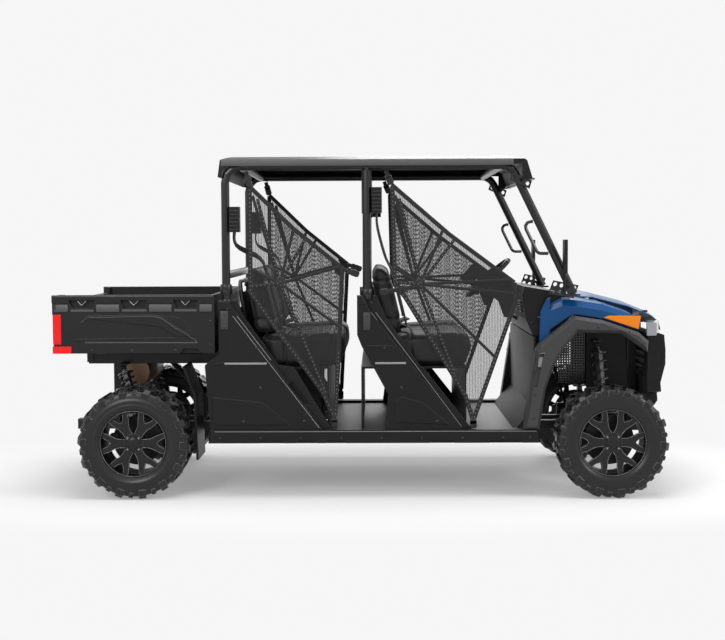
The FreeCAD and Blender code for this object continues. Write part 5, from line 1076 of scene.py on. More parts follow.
class Skin:
    """Finds the CAD's outer surface, so that trim sits on it."""

    outside = 1.4
    largest_step = 0.02

    def __init__(self, nodes: Iterable[bpy.types.Object]) -> None:
        """Gathers the shown nodes into one search tree."""
        points, faces = [], []
        for shape in nodes:
            start = len(points)
            points += [shape.matrix_world @ vert.co for vert in shape.data.vertices]
            faces += [tuple(index + start for index in face.vertices) for face in shape.data.polygons]
        self.tree = BVHTree.FromPolygons(points, faces)

    def hit(self, start: Vector, way: Vector, proud: float = 0.0, reach: float = 0.9) -> Vector | None:
        """The first surface that a ray meets.

        Args:
            start: where the ray begins.
            way: its direction.
            proud: how far before the surface the answer lies.
            reach: how far the ray goes.

        Returns:
            The place on the surface, or nothing where the ray meets none.
        """
        place = self.tree.ray_cast(start, way.normalized(), reach)[0]
        return None if place is None else place - way.normalized() * proud

    def side(self, along: float, up: float, sense: int, proud: float = 0.0) -> Vector | None:
        """The surface seen from one side at a place along the vehicle and up."""
        return self.hit(Vector((along, sense * self.outside, up)), Vector((0.0, -sense, 0.0)), proud)

    def run(self, points: Sequence[Pair], sense: int, proud: float = 0.0,
            pitch: float = 0.03) -> list[Vector]:
        """A line over one side's surface.

        Args:
            points: its corners, along the vehicle and up.
            sense: the side's sign.
            proud: its distance from the surface.
            pitch: the distance between the points found.

        Returns:
            The points on the surface, without those where it drops away.
        """
        path = []
        for start, end in zip(points, points[1:]):
            count = max(1, int(math.dist(start, end) / pitch))
            for index in range(count):
                along, up = (first + (second - first) * (index / count) for first, second in zip(start, end))
                path.append(self.side(along, up, sense, proud))
        path = [place for place in path + [self.side(*points[-1], sense, proud)] if place is not None]
        kept = path[:1]
        for place in path[1:]:
            if abs(place.y - kept[-1].y) < self.largest_step:
                kept.append(place)
        return kept

    def lay(self, form: Form, strip: Strip, side: Side) -> None:
        """Lays a strip over one side, where the surface carries it."""
        points = [(along, up - strip.drop) for along, up in strip.points]
        path = self.run(points, side.value, strip.proud, strip.pitch)
        if len(path) > 1:
            form.strap(path, side.outward, strip.width, strip.thick)


@dataclass(frozen=True)
class Lug:
    """One kind of tread block: its section as shares of the half width and of the radius."""

    section: Outline
    length: float
    between: bool = False


@dataclass
class Wheels:
    """Round tyres with their tread, and the spoked rims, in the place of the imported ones."""

    shop: Shop
    radius: float = 0.334
    lug: float = 0.017
    rim: float = 0.200
    sides: int = 96
    lugs: int = 14
    spokes: int = 6
    # The axles with their place along the vehicle, the wheel's place across it and its width.
    places: tuple[tuple[str, float, float, float], ...] = (("front", 1.486, 0.692, 0.229),
                                                           ("rear", -1.354, 0.667, 0.279))
    # Shares of the half width and of the radius under the lugs.
    carcass: Outline = ((0.78, 0.632), (0.86, 0.640), (0.90, 0.668), (0.955, 0.700), (0.972, 0.735), (0.965, 0.742),
                        (0.975, 0.79), (0.972, 0.83), (0.958, 0.84), (0.952, 0.88), (0.935, 0.93), (0.89, 0.972),
                        (0.82, 0.995), (0.70, 1.0))
    blocks: tuple[Lug, ...] = (
        Lug(((0.50, 0.94), (0.50, 1.0), (0.80, 1.0), (0.995, 0.935), (0.985, 0.84), (0.93, 0.83)), 0.044),
        Lug(((0.06, 0.94), (0.06, 1.0), (0.43, 1.0), (0.43, 0.94)), 0.04048),
        Lug(((0.70, 0.93), (0.70, 0.985), (0.86, 0.968), (0.965, 0.90), (0.96, 0.875), (0.92, 0.87)), 0.0242, True),
        Lug(((0.30, 0.94), (0.30, 0.985), (0.62, 0.985), (0.62, 0.94)), 0.022, True))
    phases: tuple[tuple[int, float], ...] = ((-1, 0.25), (1, 0.75))
    slant: float = 0.30
    slant_centre: float = 0.43
    slant_reach: float = 0.37
    chamfer: float = 0.0035
    chamfer_from: float = 0.9
    feet: Pair = (0.94, 0.93)
    # Distances from the axis and half widths, as shares of the rim's radius.
    spoke: Outline = ((0.24, 0.125), (0.42, 0.125), (0.56, 0.160), (0.74, 0.255), (0.93, 0.320))
    fork: Outline = ((0.93, 0.165), (0.79, 0.095), (0.70, 0.0))
    spoke_edges: tuple[tuple[int, int], ...] = ((0, 4), (5, 9), (10, 14))
    spoke_depths: Pair = (0.026, 0.004)
    spoke_draw: float = 0.985
    spoke_lip: float = 0.001
    rim_share: float = 0.86
    face_inset: float = 0.016
    # Each point's share of the half width, its distance beyond that and its depth under the rim's radius.
    barrel: tuple[Point, ...] = (
        (-1.0, 0.0, 0.0), (-1.0, 0.004, 0.0), (-0.4, 0.0, 0.006), (0.5, 0.0, 0.006), (1.0, -0.006, 0.0),
        (1.0, 0.0, 0.001), (1.0, 0.0, 0.007), (1.0, -0.012, 0.011), (0.5, 0.0, 0.012), (-0.4, 0.0, 0.014),
        (-1.0, 0.004, 0.008), (-1.0, 0.0, 0.005), (-1.0, 0.0, 0.0))
    hub_back: float = -0.04
    hub_foot: Pair = (0.030, 0.050)
    # Distances from the half width and radii.
    hub: Outline = ((-0.028, 0.052), (-0.019, 0.060), (-0.015, 0.058), (-0.015, 0.036), (-0.004, 0.035),
                    (-0.002, 0.031), (0.0, 0.026), (-0.001, 0.001))
    hub_sides: int = 48
    line_width: float = 0.0026
    line_thick: float = 0.0014
    line_inset: float = 0.0158
    line_share: float = 0.983
    bead_inset: float = 0.0010
    bead_depth: float = 0.004
    bead_thick: float = 0.0014
    nuts: int = 4
    nut_foot: float = 0.001
    nut_circle: float = 0.047
    nut: Outline = ((-0.001, 0.0092), (0.003, 0.0092), (0.004, 0.0078), (0.014, 0.0074), (0.017, 0.005),
                    (0.0175, 0.0005))
    disc_inset: float = 0.042
    disc_sides: int = 72
    disc: Outline = ((0.0, 0.055), (0.0, 0.149), (0.001, 0.150), (0.004, 0.150), (0.005, 0.149), (0.005, 0.055),
                     (0.0, 0.055))
    # Two opposite corners: along the vehicle from the axle, inwards from the wheel's middle and up from the axle.
    caliper: tuple[Point, Point] = ((-0.164, 0.064, -0.034), (-0.114, 0.016, 0.042))
    caliper_chamfer: float = 0.006
    caliper_pins: Pair = (-0.014, 0.022)
    pin_sides: int = 20
    pin: Outline = ((-0.001, 0.013), (0.004, 0.013), (0.006, 0.010), (0.0065, 0.0005))

    def build(self) -> None:
        """Makes the four wheels."""
        for end, axle, reach, width in self.places:
            for side in Side:
                label, body = f"{end}_{side.hand}", f"wheel_{end}_{side.hand}"
                centre = Vector((axle, side.value * reach, self.radius))
                half = width / 2 * self.rim_share
                tyre = self.shop.place(f"{label}_tyre", self._tyre(centre, width / 2), "tyre", "tyre", body)
                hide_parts(f"tyre_{label}")
                rim = self.shop.place(f"{label}_rim", self._rim(centre, half, side), "wheel", "wheel", body)
                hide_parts(f"rim_{label}")
                # Painted highlights: bright lines where the spoke edges and the rim's lip catch the light.
                self.shop.place(f"{label}_rim_edges", self._edges(centre, half, side), "steel_and_highlight", "wheel", body)
                self.shop.place(f"{label}_lug_nuts", self._nuts(centre, half, side), "steel_and_highlight", "wheel", body)
                disc = Form().turned(centre - side.outward * self.disc_inset, side.outward, self.disc,
                                     self.disc_sides, capped=False)
                self.shop.place(f"{label}_brake_disc", disc, "fastener", "wheel", body)
                holder = f"knuckle_front_{side.hand}_body" if end == "front" else "chassis"
                self.shop.place(f"{label}_caliper", self._caliper(centre, side), "drive", "arms", holder)

    def _tyre(self, centre: Vector, half: float) -> Form:
        """The carcass with its ribs, shoulder lugs and centre blocks."""
        radius = self.radius - self.lug
        profile = [(-half * across, radius * reach) for across, reach in self.carcass]
        profile += [(half * across, radius * reach) for across, reach in reversed(self.carcass)]
        profile.append(profile[0])
        form = Form().turned(centre, ACROSS, profile, self.sides, capped=False)
        for sign, phase in self.phases:
            for index in range(self.lugs):
                turn = 2 * math.pi * (index + phase) / self.lugs
                for block in self.blocks:
                    self._lug(form, centre, turn + (math.pi / self.lugs if block.between else 0.0), sign, half, block)
        return form

    def _lug(self, form: Form, centre: Vector, turn: float, sign: int, half: float, block: Lug) -> None:
        """One chamfered tread block, slanted as it goes outwards."""
        slant, end = self.slant * half, block.length / 2
        corner = end + slant * self.slant_reach
        tip = math.sqrt(self.radius ** 2 - corner ** 2)
        rings = []
        for reach, draw in ((-end, self.chamfer), (-end + self.chamfer, 0.0), (end - self.chamfer, 0.0),
                            (end, self.chamfer)):
            ring = []
            for across, share in block.section:
                drawn = draw if share > self.chamfer_from and share not in self.feet else 0.0
                lean = slant * (across - self.slant_centre)
                place = Vector((share * tip - drawn, sign * across * half, lean + reach))
                ring.append(centre + Matrix.Rotation(turn, 3, "Y") @ place)
            rings.append(ring)
        form.rings(rings)

    def _spoke_outline(self, index: int) -> list[Vector]:
        """One Y spoke's outline about the axis, flat in the wheel's plane."""
        points = [*self.spoke, *self.fork]
        points += [(reach, -spread) for reach, spread in reversed(self.fork[:-1])]
        points += [(reach, -spread) for reach, spread in reversed(self.spoke)]
        spin = Matrix.Rotation(2 * math.pi * index / self.spokes, 3, "Y")
        return [spin @ Vector((self.rim * reach, 0.0, self.rim * spread)) for reach, spread in points]

    def _rim(self, centre: Vector, half: float, side: Side) -> Form:
        """The barrel with its lips, the Y spokes, the hub and the cap."""
        way, face = side.outward, centre + side.outward * (half - self.face_inset)
        barrel = [(half * share + reach, self.rim - depth) for share, reach, depth in self.barrel]
        form = Form().turned(centre, way, barrel, self.sides, capped=False)
        for index in range(self.spokes):
            ring = self._spoke_outline(index)
            plates = [[face - way * depth + corner for corner in ring] for depth in self.spoke_depths]
            top = [face + corner * self.spoke_draw + corner.normalized() * self.spoke_lip for corner in ring]
            form.rings([*plates, top])
        hub = [(self.hub_back, radius) for radius in self.hub_foot]
        return form.turned(centre, way, hub + [(half + reach, radius) for reach, radius in self.hub], self.hub_sides)

    def _edges(self, centre: Vector, half: float, side: Side) -> Form:
        """Bright lines along the spokes' edges and a bead at the rim's lip: painted highlights in a steel finish."""
        way = side.outward
        form = Form()
        for index in range(self.spokes):
            ring = self._spoke_outline(index)
            for start, end in self.spoke_edges:
                run = [centre + way * (half - self.line_inset) + corner * self.line_share
                       for corner in ring[start:end + 1]]
                form.strap(run, way, self.line_width, self.line_thick)
        form.torus(centre + way * (half - self.bead_inset), way, self.rim - self.bead_depth, self.bead_thick,
                   self.sides)
        return form

    def _nuts(self, centre: Vector, half: float, side: Side) -> Form:
        """The wheel nuts round the cap."""
        form = Form()
        for index in range(self.nuts):
            turn = 2 * math.pi / self.nuts * (index + 0.5)
            spot = Vector((math.cos(turn), 0.0, math.sin(turn))) * self.nut_circle
            seat = centre + side.outward * (half - self.face_inset + self.nut_foot) + spot
            form.turned(seat, side.outward, self.nut, form.hexagon_sides)
        return form

    def _caliper(self, centre: Vector, side: Side) -> Form:
        """The brake caliper over the disc's rear edge."""
        sign = side.value
        (rear, inner, foot), (fore, outer, head) = self.caliper
        near, far = sorted((centre.y - sign * inner, centre.y - sign * outer))
        form = Form()
        form.box((centre.x + rear, near, centre.z + foot), (centre.x + fore, far, centre.z + head),
                 self.caliper_chamfer)
        for rise in self.caliper_pins:
            seat = Vector((centre.x + (rear + fore) / 2, centre.y - sign * outer, centre.z + rise))
            form.turned(seat, side.outward, self.pin, self.pin_sides)
        return form


@dataclass
class CargoTrim:
    """Fastenings, strips, hooks, and lines of painted shade and painted highlight on the load bed."""

    shop: Shop
    skin: Skin
    pockets: tuple[Pair, ...] = ((-1.731, -1.574), (-1.426, -1.260), (-1.115, -0.961))
    ends: Pair = (-1.826, -0.876)
    band_level: float = 1.139
    band_gap: float = 0.006
    band_width: float = 0.044
    pocket_level: float = 1.126
    pocket_gap: float = 0.010
    pocket_width: float = 0.018
    band_thick: float = 0.004
    band_proud: float = 0.001
    hook_seat: float = 1.165
    hook_level: float = 1.182
    hook_drop: float = 0.024
    hook_half: float = 0.026
    hook_wire: float = 0.0024
    wire_sides: int = 8
    hook_steps: int = 4
    # Each point's share of the half width, its distance out from the side and its share of the drop.
    hook: tuple[Point, ...] = ((-1.0, 0.001, 0.0), (-0.5, 0.006, 0.55), (0.0, 0.008, 1.0), (0.5, 0.006, 0.55),
                               (1.0, 0.001, 0.0))
    swoosh: Outline = ((-1.660, 1.062), (-1.620, 1.090), (-1.240, 1.098), (-1.180, 1.085), (-1.105, 1.030),
                       (-1.040, 0.995), (-0.985, 0.955), (-0.970, 0.938))
    ledge: Outline = ((-1.640, 0.936), (-0.970, 0.932))
    # Dark strips of painted shadow under the swoosh and the ledge, and light strips of painted highlight along the
    # swoosh, the ledge and the rail's top.
    shades: tuple[Strip, ...] = (Strip(swoosh, 0.007, 0.003, 0.02), Strip(ledge, 0.005, 0.002, drop=0.007))
    lines: tuple[Strip, ...] = (Strip(swoosh, 0.004, 0.004, 0.02, drop=0.008), Strip(ledge, 0.006, 0.004),
                                Strip(((-1.826, 1.208), (-0.876, 1.208)), 0.005, 0.003))
    bolts: Outline = ((-0.895, 1.060), (-0.895, 0.920), (-1.36, 0.885), (-1.60, 0.885), (-1.10, 0.885))
    bolt: float = 0.0055
    behind: float = -2.4
    rib_levels: tuple[float, ...] = (0.93, 0.985, 1.04, 1.095)
    rib_places: tuple[float, ...] = (-0.60, -0.3, 0.0, 0.3, 0.60)
    rib_proud: float = 0.001
    rib_width: float = 0.012
    rib_thick: float = 0.005
    gate_bolts: tuple[float, ...] = (-0.62, -0.31, 0.31, 0.62)
    gate_bolt_levels: Pair = (1.145, 0.905)
    gate_bolt: float = 0.008
    body: str = "cargo_bed"

    def build(self) -> None:
        """Makes both sides' pieces and the tailgate's."""
        for side in Side:
            self._side(side)
        self._tailgate()

    def _side(self, side: Side) -> None:
        """The right or the left side."""
        sense, hand, outward = side.value, side.hand, side.outward
        strips, shades, lines, hooks, bolts = Form(), Form(), Form(), Form(), Form()
        edges = [self.ends[0], *(end for pocket in self.pockets for end in pocket), self.ends[1]]
        for spans, level, gap, width in (
                (zip(edges[::2], edges[1::2]), self.band_level, self.band_gap, self.band_width),
                (self.pockets, self.pocket_level, self.pocket_gap, self.pocket_width)):
            for low, high in spans:
                strip = Strip(((low + gap, level), (high - gap, level)), width, self.band_thick, proud=self.band_proud)
                self.skin.lay(strips, strip, side)
        self.shop.place(f"{hand}_bed_bands", strips, "band", "bed", self.body)
        # Dark painted shadow lines first, then light painted highlight lines.
        for form, laid in ((shades, self.shades), (lines, self.lines)):
            for strip in laid:
                self.skin.lay(form, strip, side)
        self.shop.place(f"{hand}_bed_shade_lines", shades, "trim_gloss", "bed", self.body)
        self.shop.place(f"{hand}_bed_edge_lines", lines, "band", "bed", self.body)
        for low, high in self.pockets:
            middle = (low + high) / 2
            seat = self.skin.side(middle, self.hook_seat, sense)
            run = [Vector((middle + lean * self.hook_half, seat.y + sense * reach,
                           self.hook_level - self.hook_drop * share)) for lean, reach, share in self.hook]
            hooks.tube(Path.curve(run, self.hook_steps), outward, self.hook_wire, self.wire_sides)
        self.shop.place(f"{hand}_bed_hooks", hooks, "steel_and_highlight", "trim", self.body)
        for along, up in self.bolts:
            bolts.bolt(self.skin.side(along, up, sense), outward, self.bolt)
        self.shop.place(f"{hand}_bed_bolts", bolts, "fastener", "trim", self.body)

    def _tailgate(self) -> None:
        """Ribs and bolts on the tailgate's outer face."""
        ribs, bolts = Form(), Form()
        for level in self.rib_levels:
            path = [self.skin.hit(Vector((self.behind, across, level)), AHEAD, self.rib_proud)
                    for across in self.rib_places]
            ribs.strap(path, -AHEAD, self.rib_width, self.rib_thick)
        self.shop.place("tailgate_ribs", ribs, "bed", "bed", "bed_tailgate")
        for across in self.gate_bolts:
            for level in self.gate_bolt_levels:
                bolts.bolt(self.skin.hit(Vector((self.behind, across, level)), AHEAD), -AHEAD, self.gate_bolt)
        self.shop.place("tailgate_bolts", bolts, "fastener", "trim", "bed_tailgate")


@dataclass
class CabTrim:
    """Fastenings, painted highlight lines along edges, a painted highlight band and shade line at the roof's edge,
    sleeves and brackets round the cab.
    """

    shop: Shop
    skin: Skin
    # Pale lines of painted highlight along the seat panels' edges, the sill's top and the ledges.
    panel_lines: tuple[Strip, ...] = (
        Strip(((0.060, 1.108), (0.590, 0.398)), 0.0034, 0.0024, proud=0.0004),
        Strip(((0.086, 1.108), (0.616, 0.398)), 0.0034, 0.0024, proud=0.0004),
        Strip(((-0.760, 1.090), (-0.250, 0.420)), 0.0034, 0.0024, proud=0.0004),
        Strip(((-0.735, 1.090), (-0.225, 0.420)), 0.0034, 0.0024, proud=0.0004),
        Strip(((-0.90, 0.401), (1.04, 0.401)), 0.0034, 0.0020, proud=0.0004),
        Strip(((0.083, 0.806), (0.297, 0.806)), 0.012, 0.004, proud=0.0004),
        Strip(((-0.81, 0.806), (-0.56, 0.806)), 0.012, 0.004, proud=0.0004))
    sill_bolts: tuple[float, ...] = (-0.84, -0.60, -0.36, -0.12, 0.12, 0.36, 0.60, 0.84, 1.00)
    sill_bolt_level: float = 0.362
    sill_bolt: float = 0.0075
    panel_bolts: Outline = ((0.060, 1.165), (0.070, 0.46), (0.45, 0.46), (0.14, 0.90), (-0.70, 0.46), (-0.34, 0.46),
                            (-0.79, 1.13), (-0.62, 0.90), (0.24, 0.66), (-0.60, 0.66))
    panel_bolt: float = 0.0065
    clips: tuple[tuple[Pair, Pair], ...] = (((-0.832, 1.010), (-0.786, 1.120)), ((0.014, 1.004), (0.056, 1.108)))
    clip_depth: Pair = (0.002, 0.008)
    clip_rivet: float = 0.008
    clip_rivet_inset: float = 0.018
    post_reach: float = 0.700
    # Each sleeve's place along the vehicle, its foot's height and its radius.
    sleeves: tuple[Point, ...] = ((-0.801, 1.216, 0.034), (-0.801, 1.128, 0.030), (0.036, 1.186, 0.034))
    sleeve_bore: float = 0.026
    sleeve_height: float = 0.060
    sleeve_bolts: Pair = (0.016, 0.044)
    sleeve_bolt: float = 0.0060
    sleeve_draw: float = 0.002
    sleeve_step: float = 0.004
    sleeve_sides: int = 28
    bolt_sunk: float = 0.001
    pillar_plate: HoledPlate = HoledPlate((1.106, 0.734, 1.216), (0.150, 0.0, -0.030), (0.030, 0.0, 0.078), (4, 2),
                                          0.30, 0.006)
    header_plate: HoledPlate = HoledPlate((0.880, 0.727, 1.885), (0.115, 0.0, -0.052), (0.014, 0.0, 0.046), (3, 1),
                                          0.26, 0.005)
    rail_reach: float = 0.727
    rail_bolts: Outline = ((-0.801, 1.975), (0.036, 1.955), (0.889, 1.955))
    rail_bolt: float = 0.0080
    # A light band of painted highlight along the roof's rounded edge, and a dark line of painted shade under it.
    roof_band: Strip = Strip(((-0.820, 1.990), (0.900, 1.990)), 0.036, 0.006)
    roof_shade: Strip = Strip(((-0.820, 1.963), (0.930, 1.963)), 0.006, 0.006)
    visor: tuple[float, ...] = (-0.70, -0.35, 0.0, 0.35, 0.70)
    visor_foot: Pair = (1.008, 1.896)
    visor_face: Point = (0.35, 0.0, 1.0)
    visor_width: float = 0.036
    visor_thick: float = 0.006
    bead_foot: Pair = (1.024, 1.893)
    bead: float = 0.006
    bead_sides: int = 10
    # Each cover's two ends along the vehicle and its lowest rib's height.
    reels: tuple[Point, ...] = ((-0.772, -0.720, 1.600), (0.070, 0.122, 1.711))
    reel_ribs: int = 6
    reel_pitch: float = 0.022
    reel_rib_width: float = 0.010
    reel_rib_thick: float = 0.008
    reel_rib_proud: float = 0.001
    dash_from: float = 0.2
    # Each gauge's place across the vehicle and its radius; the sections take their radii as shares of it.
    gauges: tuple[Pair, ...] = ((0.33, 0.052), (-0.02, 0.030), (0.06, 0.030))
    gauge_level: float = 1.215
    gauge_sides: int = 40
    bezel: Outline = ((-0.01, 1.0), (0.008, 1.0), (0.012, 0.94), (0.008, 0.86), (0.006, 0.05))
    dial: Outline = ((0.0065, 0.84), (0.0073, 0.84), (0.0075, 0.02))
    vents: tuple[float, ...] = (-0.50, -0.30, 0.52)
    vent_level: float = 1.10
    vent_slats: int = 5
    vent_pitch: float = 0.016
    vent_low: Point = (-0.012, -0.06, -0.004)
    vent_high: Point = (0.004, 0.06, 0.003)
    vent_chamfer: float = 0.0015
    lever_root: Pair = (-0.02, 1.02)
    lever_run: tuple[Point, ...] = ((-0.06, 0.0, 0.05), (-0.09, 0.0, 0.12))
    lever_radius: float = 0.009
    lever_sides: int = 12
    knob_foot: Point = (-0.088, 0.0, 0.112)
    knob_lean: Point = (-0.2, 0.0, 1.0)
    knob: Outline = ((0.0, 0.010), (0.006, 0.021), (0.030, 0.024), (0.048, 0.018), (0.052, 0.002))
    knob_sides: int = 24

    def build(self) -> None:
        """Makes both sides and what lies between them."""
        for side in Side:
            self._panels(side)
            self._cage(side)
            self._roof(side)
            self._reels(side)
        along, level = self.visor_foot
        lip = Form().strap([Vector((along, across, level)) for across in self.visor], Vector(self.visor_face),
                           self.visor_width, self.visor_thick)
        along, level = self.bead_foot
        lip.tube([Vector((along, across, level)) for across in self.visor[::2]], UP, self.bead, self.bead_sides)
        self.shop.place("roof_visor_lip", lip, "trim_gloss", "trim")
        self._dash()

    def _panels(self, side: Side) -> None:
        """Painted highlight lines along the seat panels' edges, the sill's top and the ledges; fastenings of the seat
        panels and sills, and the clips at the posts' feet.
        """
        sense, hand, outward = side.value, side.hand, side.outward
        lines, bolts, clips = Form(), Form(), Form()
        for strip in self.panel_lines:
            self.skin.lay(lines, strip, side)
        self.shop.place(f"{hand}_panel_lines", lines, "pale_trim", "trim")
        for along in self.sill_bolts:
            bolts.rivet(self.skin.side(along, self.sill_bolt_level, sense), outward, self.sill_bolt)
        for along, up in self.panel_bolts:
            bolts.bolt(self.skin.side(along, up, sense), outward, self.panel_bolt)
        self.shop.place(f"{hand}_panel_bolts", bolts, "fastener", "trim")
        for low, high in self.clips:
            middle = (low[0] + high[0]) / 2
            seat = self.skin.side(middle, (low[1] + high[1]) / 2, sense)
            if seat is not None:
                clips.patch(low, high, seat.y, sense, self.clip_depth)
                for rise in (low[1] + self.clip_rivet_inset, high[1] - self.clip_rivet_inset):
                    place = Vector((middle, seat.y + sense * self.clip_depth[1], rise))
                    clips.rivet(place, outward, self.clip_rivet)
        self.shop.place(f"{hand}_post_clips", clips, "flare", "trim")

    def _cage(self, side: Side) -> None:
        """Sleeves on the posts, the cage's bolts and the holed plate at the windscreen pillar's foot."""
        sense, hand, outward = side.value, side.hand, side.outward
        sleeves, bolts = Form(), Form()
        for along, level, radius in self.sleeves:
            seat = Vector((along, sense * self.post_reach, level))
            high, lip, bore = self.sleeve_height, radius - self.sleeve_draw, self.sleeve_bore
            section = ((0.0, bore), (0.0, lip), (self.sleeve_step, radius), (high - self.sleeve_step, radius),
                       (high, lip), (high, bore))
            sleeves.turned(seat, UP, section, self.sleeve_sides)
            for rise in self.sleeve_bolts:
                place = seat + Vector((0.0, sense * (radius - self.bolt_sunk), rise))
                bolts.bolt(place, outward, self.sleeve_bolt)
        for along, level in self.rail_bolts:
            bolts.bolt(Vector((along, sense * self.rail_reach, level)), outward, self.rail_bolt)
        self.shop.place(f"{hand}_cage_sleeves", sleeves, "cage", "cage")
        self.shop.place(f"{hand}_cage_bolts", bolts, "fastener", "cage")
        plate = Form().perforated(self.pillar_plate, sense)
        self.shop.place(f"{hand}_pillar_plate", plate, "trim_gloss", "cage")

    def _roof(self, side: Side) -> None:
        """A painted highlight band along the roof's edge with a painted shade line under it, and the header's slotted
        plate.
        """
        band, shade = Form(), Form()
        self.skin.lay(band, self.roof_band, side)
        self.skin.lay(shade, self.roof_shade, side)
        self.shop.place(f"{side.hand}_roof_band", band, "band", "trim")
        self.shop.place(f"{side.hand}_roof_shade_line", shade, "trim_gloss", "trim")
        header = Form().perforated(self.header_plate, side.value)
        self.shop.place(f"{side.hand}_header_plate", header, "trim_gloss", "cage")

    def _reels(self, side: Side) -> None:
        """Ribs on the belt reels' covers."""
        form = Form()
        for low, high, foot in self.reels:
            for row in range(self.reel_ribs):
                level = foot + self.reel_pitch * row
                rib = Strip(((low, level), (high, level)), self.reel_rib_width, self.reel_rib_thick,
                            proud=self.reel_rib_proud)
                self.skin.lay(form, rib, side)
        self.shop.place(f"{side.hand}_reel_ribs", form, "trim_gloss", "trim")

    def _dash(self) -> None:
        """Gauges, vents and shift lever at the dashboard."""
        form, dial, lever = Form(), Form(), Form()
        for across, radius in self.gauges:
            seat = self.skin.hit(Vector((self.dash_from, across, self.gauge_level)), AHEAD)
            for made, shares in ((form, self.bezel), (dial, self.dial)):
                made.turned(seat, -AHEAD, [(reach, radius * share) for reach, share in shares], self.gauge_sides)
        for across in self.vents:
            for row in range(self.vent_slats):
                level = self.vent_level + row * self.vent_pitch
                seat = self.skin.hit(Vector((self.dash_from, across, level)), AHEAD)
                form.box(seat + Vector(self.vent_low), seat + Vector(self.vent_high), self.vent_chamfer)
        self.shop.place("dash_bezels", form, "trim_gloss", "trim")
        self.shop.place("dash_dials", dial, "clear_lens", "trim")
        root = self.skin.hit(Vector((self.dash_from, *self.lever_root)), AHEAD)
        run = Path.curve([root, *(root + Vector(place) for place in self.lever_run)])
        lever.tube(run, ACROSS, self.lever_radius, self.lever_sides)
        lever.turned(root + Vector(self.knob_foot), Vector(self.knob_lean), self.knob, self.knob_sides)
        self.shop.place("shift_lever", lever, "trim_gloss", "trim")


